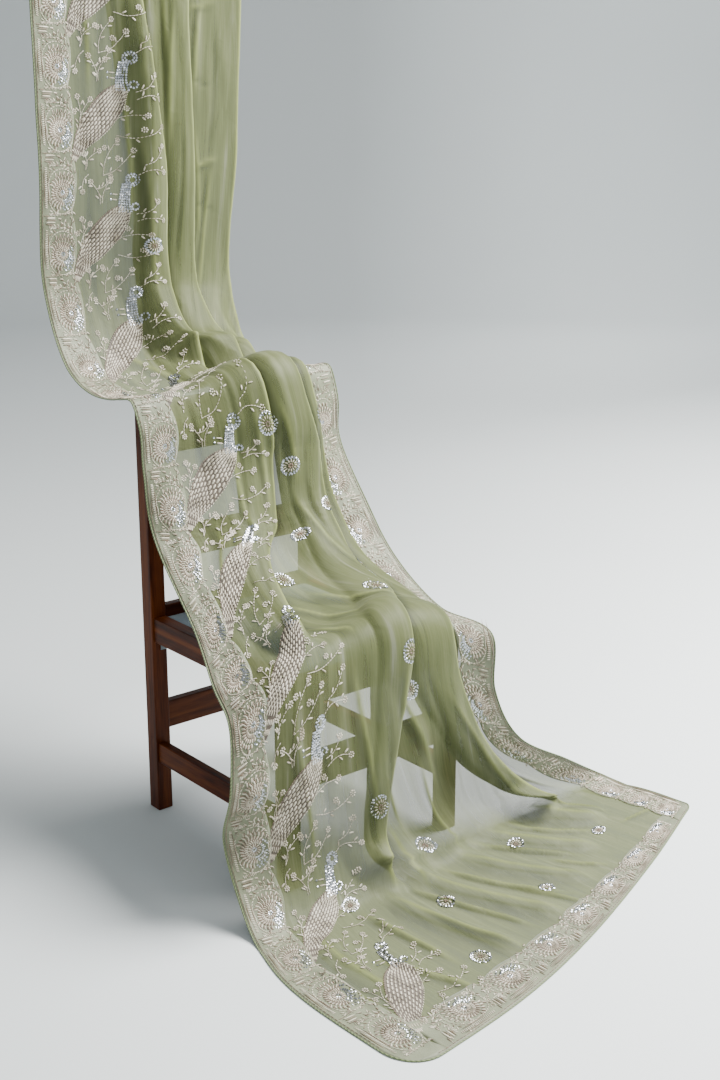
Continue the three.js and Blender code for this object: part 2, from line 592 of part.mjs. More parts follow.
const BACK_RAIL_FRONT = CHAIR_DEPTH - 30;
const CROSS_RAILS = [
  { name: 'rail_front', front: RAIL_INSET, low: 390, high: SEAT_HEIGHT },
  { name: 'stretcher_front', front: RAIL_INSET + 2, low: 210, high: 280 },
  { name: 'rail_rear', front: CHAIR_DEPTH - RAIL_INSET - RAIL_THICK, low: 404, high: 480 },
  { name: 'stretcher_rear', front: CHAIR_DEPTH - RAIL_INSET - RAIL_THICK, low: 190, high: 253 },
  { name: 'back_rail_low', front: BACK_RAIL_FRONT, low: 580, high: 650 },
  { name: 'back_rail_top', front: BACK_RAIL_FRONT, low: 820, high: BACK_HEIGHT },
];
for (const rail of CROSS_RAILS) {
  board(rail.name, [insideLeft, rail.front, rail.low], [insideRight, rail.front + RAIL_THICK, rail.high]);
}

const SIDE_RAILS = [
  { name: 'rail', low: 404, high: SEAT_HEIGHT + 5, thick: SIDE_RAIL_THICK },
  { name: 'stretcher', low: 117, high: 164, thick: RAIL_THICK },
];
for (const rail of SIDE_RAILS) {
  const left = CHAIR_LEFT + RAIL_INSET;
  const right = CHAIR_RIGHT - RAIL_INSET;
  board(`${rail.name}_left`, [left, insideFront, rail.low], [left + rail.thick, insideRear, rail.high]);
  board(`${rail.name}_right`, [right - rail.thick, insideFront, rail.low], [right, insideRear, rail.high]);
}

const PAD_THICK = 22;
const PAD_SOFTNESS = 6;
const padFront = RAIL_INSET + RAIL_THICK + JOINT_GAP;
const padRear = CHAIR_DEPTH - RAIL_INSET - RAIL_THICK - JOINT_GAP;
board(
  'seat_pad',
  [insideLeft, padFront, SEAT_HEIGHT - PAD_THICK],
  [insideRight, padRear, SEAT_HEIGHT],
  padCloth,
  PAD_SOFTNESS,
);

const PLATE_WIDTH = 14;
const PLATE_THICK = 2;
const PLATE_HEIGHT = 20;
const PLATE_INSET = 20;
const PLATE_CHAMFER = 0.4;
const plateRear = CHAIR_DEPTH - LEG_SIZE - JOINT_GAP;
const plateRight = CHAIR_RIGHT - PLATE_INSET - PLATE_WIDTH;
for (const [side, x] of [['left', CHAIR_LEFT + PLATE_INSET], ['right', plateRight]]) {
  const top = SIDE_RAILS[0].low - JOINT_GAP;
  board(
    `plate_${side}`,
    [x, plateRear - PLATE_THICK, top - PLATE_HEIGHT],
    [x + PLATE_WIDTH, plateRear, top],
    steel,
    PLATE_CHAMFER,
  );
}

// The origin goes to the middle of the whole object's base.
const extent = new THREE.Box3().setFromObject(saree);
saree.position.set(-(extent.min.x + extent.max.x) / 2, -(extent.min.y + extent.max.y) / 2, -extent.min.z);

export default saree;
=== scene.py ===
import math

import bmesh
import bpy
import numpy as np
from mathutils import Matrix, Vector


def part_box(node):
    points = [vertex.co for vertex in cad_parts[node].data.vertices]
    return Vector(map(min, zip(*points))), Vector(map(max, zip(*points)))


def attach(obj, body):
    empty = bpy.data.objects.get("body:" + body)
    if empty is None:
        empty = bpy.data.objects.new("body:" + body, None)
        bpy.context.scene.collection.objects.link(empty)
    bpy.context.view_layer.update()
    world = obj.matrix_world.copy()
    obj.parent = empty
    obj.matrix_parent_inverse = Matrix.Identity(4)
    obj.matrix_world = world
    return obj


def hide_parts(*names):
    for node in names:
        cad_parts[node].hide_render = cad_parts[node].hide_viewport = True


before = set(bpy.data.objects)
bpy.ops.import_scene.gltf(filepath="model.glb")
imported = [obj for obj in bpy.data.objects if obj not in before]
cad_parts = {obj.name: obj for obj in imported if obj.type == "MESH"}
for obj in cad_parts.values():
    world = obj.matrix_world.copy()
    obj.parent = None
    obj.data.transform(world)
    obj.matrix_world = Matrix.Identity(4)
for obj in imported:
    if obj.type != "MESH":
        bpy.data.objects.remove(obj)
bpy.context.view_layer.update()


# The chair's frame: posts, rails and stretchers of hardwood, planed square with their edges eased,
# tenoned into one another and polished a dark red brown. The grain runs along each board.
EASED_EDGE = 0.0022
FLAT_OVER_EASED = 40
CHAIR_TONES = ((0.017, 0.0028, 0.0006), (0.066, 0.0128, 0.0020), (0.14, 0.036, 0.0062))
FIGURE_ALONG, FIGURE_ACROSS = 3.2, 62
PORES_ALONG, PORES_ACROSS = 26, 900
ACROSS_CHAIR, FRONT_TO_REAR, UPRIGHT = 0, 1, 2
BOARDS = {
    "leg_front_left": UPRIGHT, "leg_front_right": UPRIGHT,
    "post_rear_left": UPRIGHT, "post_rear_right": UPRIGHT,
    "rail_front": ACROSS_CHAIR, "rail_rear": ACROSS_CHAIR,
    "stretcher_front": ACROSS_CHAIR, "stretcher_rear": ACROSS_CHAIR,
    "back_rail_low": ACROSS_CHAIR, "back_rail_top": ACROSS_CHAIR,
    "rail_left": FRONT_TO_REAR, "rail_right": FRONT_TO_REAR,
    "stretcher_left": FRONT_TO_REAR, "stretcher_right": FRONT_TO_REAR,
}


def texture(material, kind, inputs, **settings):
    made = material.node_tree.nodes.new("ShaderNode" + kind)
    for name, value in settings.items():
        setattr(made, name, value)
    for name, value in inputs.items():
        if isinstance(value, bpy.types.NodeSocket):
            material.node_tree.links.new(value, made.inputs[name])
        else:
            made.inputs[name].default_value = value
    return made


def object_place(material):
    return texture(material, "TexCoord", {}).outputs["Object"]


def stretched(material, place, scale):
    return texture(material, "Mapping", {"Vector": place, "Scale": scale}).outputs[0]


def noise(material, place, scale, detail, distortion=0.0):
    inputs = {"Vector": place, "Scale": scale, "Detail": detail, "Distortion": distortion}
    return texture(material, "TexNoise", inputs).outputs["Fac"]


def weighed(material, value, weight, base):
    return texture(material, "Math", {0: value, 1: weight, 2: base}, operation="MULTIPLY_ADD").outputs[0]


def bump(material, height, strength, distance):
    inputs = {"Height": height, "Strength": strength, "Distance": distance}
    return texture(material, "Bump", inputs).outputs[0]


def shades(material, factor, stops):
    ramp = texture(material, "ValToRGB", {"Fac": factor})
    colours = ramp.color_ramp.elements
    stops = list(stops)
    while len(colours) < len(stops):
        colours.new(0.5)
    for element, (place, colour) in zip(colours, stops):
        element.position = place
        element.color = (*colour, 1)
    return ramp.outputs["Color"]


def new_finish(name, **sockets):
    material = bpy.data.materials.new(name)
    material.use_nodes = True
    shader = material.node_tree.nodes["Principled BSDF"]
    for socket, value in sockets.items():
        shader.inputs[socket.replace("_", " ")].default_value = value
    return material, shader


def feed(material, shader, **sources):
    for socket, source in sources.items():
        material.node_tree.links.new(source, shader.inputs[socket.replace("_", " ")])


def polished_wood(name, grain, tones):
    material, shader = new_finish(
        name, Roughness=0.42, Coat_Weight=0.03, Coat_Roughness=0.25, Specular_IOR_Level=0.14)
    place = object_place(material)
    figure_scale = [FIGURE_ALONG if axis == grain else FIGURE_ACROSS for axis in range(3)]
    pore_scale = [PORES_ALONG if axis == grain else PORES_ACROSS for axis in range(3)]
    figure = noise(material, stretched(material, place, figure_scale), scale=1.0, detail=5.0, distortion=0.5)
    pores = noise(material, stretched(material, place, pore_scale), scale=1.0, detail=2.0)
    colour = shades(material, weighed(material, pores, 0.35, figure), zip((0.45, 0.66, 0.9), tones))
    worn = noise(material, place, scale=9.0, detail=3.0)
    rough = texture(material, "MapRange", {"Value": worn, "To Min": 0.32, "To Max": 0.5}).outputs[0]
    relief = bump(material, pores, strength=0.18, distance=0.0006)
    feed(material, shader, Base_Color=colour, Roughness=rough, Normal=relief)
    return material


def placed(name, data):
    thing = bpy.data.objects.new(name, data)
    bpy.context.scene.collection.objects.link(thing)
    return thing


def make_piece(name, shape, material, stood_for=()):
    mesh = shape
    if isinstance(shape, bmesh.types.BMesh):
        mesh = bpy.data.meshes.new(name)
        shape.to_mesh(mesh)
        shape.free()
    mesh.materials.append(material)
    piece = placed(name, mesh)
    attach(piece, "root")
    if stood_for:
        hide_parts(*stood_for)
    return piece


def eased_block(low, high, edge, segments=3):
    shape = bmesh.new()
    bmesh.ops.create_cube(shape, size=1.0, matrix=Matrix.LocRotScale((low + high) / 2, None, high - low))
    bmesh.ops.bevel(shape, geom=shape.edges[:], offset=edge, offset_type="OFFSET", affect="EDGES",
                    segments=segments, profile=0.5, material=-1, clamp_overlap=True)
    widest = max(face.calc_area() for face in shape.faces)
    for face in shape.faces:
        face.smooth = face.calc_area() < widest / FLAT_OVER_EASED
    return shape


chair_wood = [polished_wood(f"chair_wood_{axis}", grain, CHAIR_TONES)
              for grain, axis in enumerate(("across", "deep", "upright"))]
for name, grain in BOARDS.items():
    board = eased_block(*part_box(name), EASED_EDGE)
    make_piece(f"{name}_wood", board, chair_wood[grain], [name])


# Two small steel plates hold the side rails to the rear posts. Each is cut from brushed strip and held
# by two small screws, whose flat heads stand a little proud of it.
PLATE_EDGE = 0.0004
BRUSHING = (400, 400, 3000)
STEEL_TONES = [(0.3, (0.16, 0.19, 0.21)), (0.7, (0.30, 0.34, 0.37))]
SCREW_RADIUS = 0.0026
SCREW_TAPER = 0.8
SCREW_SIDES = 20
SCREW_PROUD = 0.0006
SCREWS_UP_PLATE = (0.25, 0.75)

steel, steel_shader = new_finish("plate_steel", Metallic=1.0, Roughness=0.38)
scratches = noise(steel, stretched(steel, object_place(steel), BRUSHING), scale=1.0, detail=3.0)
steel_tone = shades(steel, scratches, STEEL_TONES)
steel_relief = bump(steel, scratches, strength=0.2, distance=0.0002)
feed(steel, steel_shader, Base_Color=steel_tone, Normal=steel_relief)

for side in ("left", "right"):
    low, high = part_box(f"plate_{side}")
    plate = eased_block(low, high, PLATE_EDGE, 2)
    for share in SCREWS_UP_PLATE:
        centre = Vector(((low.x + high.x) / 2, low.y, low.z + (high.z - low.z) * share))
        bmesh.ops.create_cone(
            plate, cap_ends=True, segments=SCREW_SIDES, radius1=SCREW_RADIUS,
            radius2=SCREW_RADIUS * SCREW_TAPER, depth=SCREW_PROUD,
            matrix=Matrix.Translation(centre) @ Matrix.Rotation(math.pi / 2, 4, "X"))
    make_piece(f"plate_{side}_steel", plate, steel, [f"plate_{side}"])


# The seat is a thin foam pad on a board, covered in plain grey-blue cloth pulled tight and tacked
# underneath, so that it is slightly crowned and its corners are round.
PAD_ROUND = 0.007
PAD_CROWN = 0.004
PAD_CUTS = 36
PAD_TONES = [(0.3, (0.16, 0.22, 0.27)), (0.7, (0.24, 0.31, 0.36))]


def woven(material, place, yarns, distortion):
    warp, weft = [texture(material, "TexWave", {"Vector": place, "Scale": yarns, "Distortion": distortion},
                          bands_direction=direction).outputs["Fac"] for direction in "XY"]
    return texture(material, "Math", {0: warp, 1: weft}, operation="MULTIPLY").outputs[0]


pad_cloth, pad_shader = new_finish("seat_cloth", Roughness=0.85, Sheen_Weight=0.25)
pad_place = object_place(pad_cloth)
pad_tone = shades(pad_cloth, noise(pad_cloth, pad_place, scale=14.0, detail=4.0), PAD_TONES)
pad_relief = bump(pad_cloth, woven(pad_cloth, pad_place, 160.0, 0.6), strength=0.4, distance=0.0006)
feed(pad_cloth, pad_shader, Base_Color=pad_tone, Normal=pad_relief)

pad_low, pad_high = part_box("seat_pad")
pad = bmesh.new()
bmesh.ops.create_cube(pad, size=1.0)
bmesh.ops.subdivide_edges(pad, edges=pad.edges[:], cuts=PAD_CUTS, use_grid_fill=True)
pad_half = (pad_high - pad_low) / 2
for vertex in pad.verts:
    share = vertex.co * 2
    full = Vector(share[i] * pad_half[i] for i in range(3))
    core = Vector(max(min(full[i], pad_half[i] - PAD_ROUND), PAD_ROUND - pad_half[i]) for i in range(3))
    offset = full - core
    if offset.length > PAD_ROUND:
        full = core + offset.normalized() * PAD_ROUND
    if share.z > 0:
        full.z += PAD_CROWN * share.z * (1 - share.x ** 2) * (1 - share.y ** 2)
    vertex.co = (pad_low + pad_high) / 2 + full
for face in pad.faces:
    face.smooth = True
seat_pad = make_piece("seat_pad_cloth", pad, pad_cloth, ["seat_pad"])


# The rod is a plain wooden pole, turned on a lathe and rounded at its ends. The saree's upper end is
# turned over it, and the cloth hangs from it.
ROD_END_ROUND = 0.003
ROD_SIDES = 64
ROD_END_STEPS = 4
ROD_TONES = ((0.05, 0.02, 0.008), (0.12, 0.05, 0.02), (0.22, 0.11, 0.05))

rod_low, rod_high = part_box("rod")
rod_shape = bmesh.new()
rod_radius = (rod_high.z - rod_low.z) / 2
bmesh.ops.create_cone(
    rod_shape, cap_ends=True, segments=ROD_SIDES, radius1=rod_radius, radius2=rod_radius,
    depth=rod_high.x - rod_low.x,
    matrix=Matrix.Translation((rod_low + rod_high) / 2) @ Matrix.Rotation(math.pi / 2, 4, "Y"))
rims = [edge for edge in rod_shape.edges if abs(edge.verts[0].co.x - edge.verts[1].co.x) < EASED_EDGE]
bmesh.ops.bevel(rod_shape, geom=rims, offset=ROD_END_ROUND, offset_type="OFFSET", affect="EDGES",
                segments=ROD_END_STEPS, profile=0.5, material=-1)
for face in rod_shape.faces:
    face.smooth = len(face.verts) < ROD_SIDES
rod_wood = polished_wood("rod_wood", ACROSS_CHAIR, ROD_TONES)
make_piece("rod_pole", rod_shape, rod_wood, ["rod"])


# The saree is one length of sage green organza, woven of fine twisted silk, stiff and sheer. It is turned
# over the rod, hangs, swings forward over the chair's back, sags to the seat, falls and spreads.
# Its tables are in millimetres, from the foot of the chair's front left corner.
MM = 0.001
CHAIR_LEFT = -11
HANG_Y = 834
ROD_HEIGHT = 1840
RIDGE_Z = 942
RIDGE_RIGHT_Z = 958
SEAT_Z = 467
CLOTH_WIDTH = 1150
BORDER_WIDTH = 90
TURN_LENGTH = 17
TURN_RADIUS = 18
TAIL_LENGTH = 60
HEM_CORNER_LEFT = 70
HEM_CORNER_RIGHT = 25

# The way the cloth takes: how far along it, then the places of its left edge, over the chair's left
# side, over its right side, and of its right edge.
PATH = [
    (0, (-32, HANG_Y, ROD_HEIGHT), (100, HANG_Y, ROD_HEIGHT), (370, HANG_Y, ROD_HEIGHT),
     (512, HANG_Y, ROD_HEIGHT)),
    (440, (-32, HANG_Y, 1400), (100, HANG_Y, 1400), (355, HANG_Y, 1400), (484, HANG_Y, 1400)),
    (720, (-32, 838, 1120), (95, 830, 1120), (335, 830, 1120), (458, 830, 1120)),
    (881, (-36, 750, 976), (80, 750, 974), (330, 750, 972), (452, 750, 975)),
    (1012, (-40, 632, 934), (60, 632, 928), (370, 632, 926), (470, 632, 930)),
    (1107, (-40, 556, 937), (20, 556, 934), (420, 556, 944), (482, 556, 946)),
    (1147, (-40, 524, RIDGE_Z), (-5, 524, RIDGE_Z), (440, 524, RIDGE_RIGHT_Z), (488, 524, RIDGE_RIGHT_Z)),
    (1195, (-39, 478, RIDGE_Z), (-5, 478, RIDGE_Z), (440, 478, RIDGE_RIGHT_Z), (488, 480, RIDGE_RIGHT_Z)),
    (1230, (-38, 459, 905), (-5, 459, 905), (455, 459, 905), (490, 462, 910)),
    (1335, (-35, 450, 800), (-5, 450, 800), (455, 450, 802), (493, 458, 806)),
    (1480, (-30, 425, 660), (-3, 410, 660), (455, 378, 662), (502, 370, 665)),
    (1650, (-60, 230, 505), (-5, 250, 545), (455, 262, 548), (503, 260, 547)),
    (1790, (-105, 105, 440), (-10, 112, 492), (455, 112, 482), (503, 110, 470)),
    (1925, (-130, 15, 385), (-10, -16, SEAT_Z), (455, -22, SEAT_Z), (503, -50, 453)),
    (2040, (-158, -22, 275), (-20, -45, 345), (455, -42, 350), (505, -60, 330)),
    (2180, (-162, 0, 168), (-40, -50, 200), (465, -45, 215), (590, -65, 190)),
    (2290, (-165, -45, 70), (-35, -60, 80), (515, -45, 85), (740, -60, 100)),
    (2390, (-175, -110, 8), (-25, -120, 8), (560, -85, 10), (870, -50, 20)),
    (2510, (-210, -240, 0), (10, -235, 0), (600, -180, 0), (905, -110, 0)),
    (2830, (-213, -614, 0), (90, -574, 0), (648, -393, 0), (937, -268, 0)),
]

# Three pleats: how far along, then for each how far its edge lies from the left edge, how wide it laps
# and how far it is shut. Last, the width turned under behind the right side and how far it is turned.
PLEATS = [
    (0, (240, 60, 1), (378, 60, 1), (460, 15, 0), (262, 1)),
    (440, (295, 55, 1), (385, 60, 1), (460, 15, 0), (262, 1)),
    (720, (305, 60, 1), (395, 65, 1), (450, 15, 0), (255, 1)),
    (881, (302, 80, 1), (398, 80, 1), (440, 20, 0.4), (190, 1)),
    (1012, (300, 90, 1), (400, 90, 1), (450, 60, 1), (140, 0.7)),
    (1058, (299, 90, 1), (401, 92, 1), (444, 78, 1), (140, 0.3)),
    (1107, (298, 90, 1), (402, 95, 1), (440, 90, 1), (140, 0)),
    (1190, (298, 80, 1), (402, 100, 1), (440, 100, 1), (140, 0)),
    (1335, (300, 85, 1), (425, 110, 1), (455, 100, 1), (140, 0)),
    (1480, (292, 95, 1), (440, 120, 1), (480, 90, 1), (140, 0)),
    (1650, (250, 80, 1), (460, 115, 1), (510, 90, 1), (140, 0)),
    (1720, (234, 55, 1), (466, 105, 1), (530, 95, 1), (140, 0)),
    (1790, (220, 26, 0.95), (470, 95, 1), (545, 100, 1), (140, 0)),
    (1850, (210, 20, 0.45), (458, 82, 1), (552, 105, 1), (140, 0)),
    (1900, (200, 18, 0), (445, 70, 1), (558, 108, 1), (140, 0)),
    (2040, (200, 25, 0), (425, 60, 1), (590, 110, 1), (140, 0)),
    (2180, (210, 40, 0), (380, 50, 1), (660, 95, 1), (140, 0)),
    (2290, (220, 50, 0), (340, 22, 0.9), (760, 40, 1), (140, 0)),
    (2390, (220, 50, 0), (330, 18, 0.3), (840, 18, 0.4), (140, 0)),
    (2445, (220, 50, 0), (350, 30, 0), (850, 30, 0), (140, 0)),
    (2510, (220, 50, 0), (380, 40, 0), (860, 40, 0), (140, 0)),
    (2830, (220, 50, 0), (560, 50, 0), (820, 50, 0), (140, 0)),
]

# Soft ridges, each from one place of the cloth to another, a place being the distance from the left edge
# and the distance along; then half its width and its height.
RIDGES = [
    ((140, 60), (160, 740), 55, 9), ((235, 20), (275, 700), 36, 10),
    ((445, 30), (450, 650), 40, 9), ((690, 40), (720, 640), 45, 9),
    ((180, 1240), (190, 1640), 80, 12), ((470, 1220), (560, 1700), 60, 14),
    ((60, 2020), (70, 2260), 60, 12), ((640, 2060), (560, 2420), 70, 16),
    ((480, 2250), (430, 2480), 55, 14), ((330, 2380), (420, 2800), 48, 13),
    ((430, 2370), (590, 2790), 52, 15), ((560, 2360), (740, 2740), 50, 13),
    ((680, 2340), (860, 2660), 55, 15), ((830, 2330), (980, 2580), 60, 18),
    ((120, 2400), (150, 2760), 60, 7),
]

# The net that the cloth is worked out on, and how a pleat turns, laps, rests on what lies under it and
# puffs out at its middle.
NET_ACROSS = 2.5
NET_ALONG = 8
TURN_SLICES = 32
LEAST_FLAT = 8
FOLDED_OVER = 0.6
FULLNESS = (0.4, 1.8)
FITTING_ROUNDS = 24
UNDER_STARTS, UNDER_ENDS = 13, 14
REST_STEP = 5
REST_SPREAD = 6
PUFF = 15
FULL_LAP = 90
MOST_PUFF = 1.2
LOOK_ALONG = 4
LOOK_ACROSS = 0.004
CLOTH_TOP = -(math.pi * TURN_RADIUS + TAIL_LENGTH)
CLOTH_END = PATH[-1][0]


def ease(t):
    t = np.clip(t, 0, 1)
    return t * t * (3 - 2 * t)


def shut_share(value):
    return min(max(value, 0), 1)


def smooth_rows(stops, rows):
    stops, rows = np.array(stops, float), np.array(rows, float)
    gaps = np.diff(stops)[:, None]
    rises = np.diff(rows, axis=0) / gaps
    inner = (rises[:-1] * gaps[1:] + rises[1:] * gaps[:-1]) / (gaps[1:] + gaps[:-1])
    slopes = np.vstack([rises[:1], inner, rises[-1:]])

    def at(stop):
        stop = np.atleast_1d(np.asarray(stop, float))
        i = np.clip(np.searchsorted(stops, stop) - 1, 0, len(stops) - 2)
        gap = gaps[i]
        t = (stop - stops[i])[:, None] / gap
        here = 2 * t ** 3 - 3 * t ** 2 + 1
        leave = t ** 3 - 2 * t ** 2 + t
        arrive = t ** 3 - t ** 2
        return (here * rows[i] + leave * gap * slopes[i]
                + (1 - here) * rows[i + 1] + arrive * gap * slopes[i + 1])

    return at


path_at = smooth_rows([row[0] for row in PATH], [np.concatenate(row[1:]) for row in PATH])
pleats_at = smooth_rows([row[0] for row in PLEATS], [np.concatenate(row[1:]) for row in PLEATS])


def cross_line(along):
    points = path_at(along)[0].reshape(4, 3)
    stops = np.concatenate([[0], np.cumsum(np.linalg.norm(np.diff(points, axis=0), axis=1))])
    return smooth_rows(stops, points), stops[-1]


def turn_advance(shut):
    slices = (np.arange(TURN_SLICES) + 0.5) / TURN_SLICES
    return float(np.cos(math.pi * shut * ease(slices)).mean() * TURN_LENGTH)


def breaks_for(row, length, fullness, advances):
    widths, reach = [0.0], 0.0
    for k in range(3):
        edge, lap = row[3 * k], row[3 * k + 1]
        shut = shut_share(row[3 * k + 2])
        lap = max(lap, LEAST_FLAT) * (fullness if shut > FOLDED_OVER else 1)
        flat = max(edge - reach, LEAST_FLAT)
        for cloth, side in ((flat, flat), (TURN_LENGTH, advances[k]),
                            (lap, lap * math.cos(math.pi * shut)), (TURN_LENGTH, advances[k])):
            widths.append(widths[-1] + cloth)
            reach += side
    under, shut = row[9], shut_share(row[10])
    beyond = advances[3] + under * math.cos(math.pi * shut)
    flat = max(length - reach - max(beyond, 0), LEAST_FLAT)
    for cloth in (flat, TURN_LENGTH, under):
        widths.append(widths[-1] + cloth)
    return np.array(widths)


def resting_depth(side, depth, last_shown):
    count = math.ceil(side.max() / REST_STEP) + 1
    lowest = np.full(count, np.inf)
    held = depth.copy()
    held[last_shown + 1:] = np.maximum(held[last_shown + 1:], depth[last_shown] - 2 * TURN_LENGTH / math.pi)
    np.minimum.at(lowest, np.clip(np.round(side / REST_STEP).astype(int), 0, count - 1), held)
    around = [slice(max(k - REST_SPREAD, 0), k + REST_SPREAD + 1) for k in range(count)]
    widened = np.array([lowest[near].min() for near in around])
    smooth = np.array([widened[near].mean() for near in around])
    return np.interp(side / REST_STEP, np.arange(count), smooth)


def section_at(along):
    row = pleats_at(max(along, 0))[0]
    line, length = cross_line(max(along, 0))
    shut = [shut_share(row[k]) for k in (2, 5, 8, 10)]
    advances = [turn_advance(value) for value in shut]
    low, high = FULLNESS
    for _ in range(FITTING_ROUNDS):
        middle = (low + high) / 2
        if breaks_for(row, length, middle, advances)[-1] < CLOTH_WIDTH:
            low = middle
        else:
            high = middle
    breaks = breaks_for(row, length, low, advances)
    breaks *= CLOTH_WIDTH / breaks[-1]
    steps = round(CLOTH_WIDTH / NET_ACROSS)
    width = (np.arange(steps) + 0.5) * NET_ACROSS
    under_turn = breaks[UNDER_ENDS] - breaks[UNDER_STARTS]
    angle = -math.pi * shut[3] * ease((width - breaks[UNDER_STARTS]) / under_turn)
    for k in range(3):
        i = 4 * k + 1
        away = ease((width - breaks[i]) / (breaks[i + 1] - breaks[i]))
        back = ease((width - breaks[i + 2]) / (breaks[i + 3] - breaks[i + 2]))
        angle -= math.pi * shut[k] * (away - back)
    side = np.concatenate([[0], np.cumsum(np.cos(angle) * NET_ACROSS)])
    depth = np.concatenate([[0], np.cumsum(np.sin(angle) * NET_ACROSS)])
    depth -= resting_depth(side, depth, int(breaks[UNDER_STARTS] // NET_ACROSS))
    return breaks, side / side.max(), depth, line, length


def beside(start, end, width, along):
    run = np.subtract(end, start)
    reach = math.hypot(*run)
    share = ((width - start[0]) * run[0] + (along - start[1]) * run[1]) / reach ** 2
    aside = ((width - start[0]) * run[1] - (along - start[1]) * run[0]) / reach
    return share, aside


def ridge_heights(width, along):
    height = np.zeros(np.broadcast(width, along).shape)
    for start, end, half_width, tall in RIDGES:
        share, aside = beside(start, end, width, along)
        height += tall * ease(4 * share) * ease(4 * (1 - share)) * (1 - ease(np.abs(aside) / half_width))
    return height


def pleat_puff(row, breaks, width):
    rounded = np.zeros(len(width))
    for k in range(3):
        edge, lap = breaks[4 * k + 1], breaks[4 * k + 3] - breaks[4 * k + 2]
        t = np.clip((width - (edge - lap)) / (lap + TURN_LENGTH / 2), 0, 1)
        shut = shut_share(row[3 * k + 2])
        rounded += PUFF * shut * min(lap / FULL_LAP, MOST_PUFF) * (1 - np.abs(2 * t - 1) ** 2.4) ** 0.6
    return rounded


def net_row(along):
    breaks, share, depth, line, length = section_at(along)
    sideways = np.clip(share, 0, 1)
    base = line(sideways * length)
    width = np.arange(len(share)) * NET_ACROSS
    depth = depth + ridge_heights(width, along) + pleat_puff(pleats_at(max(along, 0))[0], breaks, width)
    if along < 0:
        turn = min(-along / TURN_RADIUS, math.pi)
        drop = max(-along - math.pi * TURN_RADIUS, 0)
        radius = TURN_RADIUS + depth
        return np.stack([base[:, 0], HANG_Y + TURN_RADIUS - radius * math.cos(turn),
                         ROD_HEIGHT + radius * math.sin(turn) - drop], axis=1)
    before, before_length = cross_line(max(along - LOOK_ALONG, 0))
    after, after_length = cross_line(min(along + LOOK_ALONG, CLOTH_END))
    down = after(sideways * after_length) - before(sideways * before_length)
    across = (line(np.minimum(sideways + LOOK_ACROSS, 1) * length)
              - line(np.maximum(sideways - LOOK_ACROSS, 0) * length))
    out = np.cross(down, across)
    return base + out / np.linalg.norm(out, axis=1)[:, None] * depth[:, None]


net_count = math.ceil((CLOTH_END - CLOTH_TOP) / NET_ALONG)
net_alongs = np.linspace(CLOTH_TOP, CLOTH_END, net_count + 1)
net_widths = np.arange(round(CLOTH_WIDTH / NET_ACROSS) + 1) * NET_ACROSS
net = np.stack([net_row(along) for along in net_alongs])


def net_normals():
    out = np.cross(np.gradient(net, axis=0), np.gradient(net, axis=1))
    return out / np.linalg.norm(out, axis=2)[:, :, None]


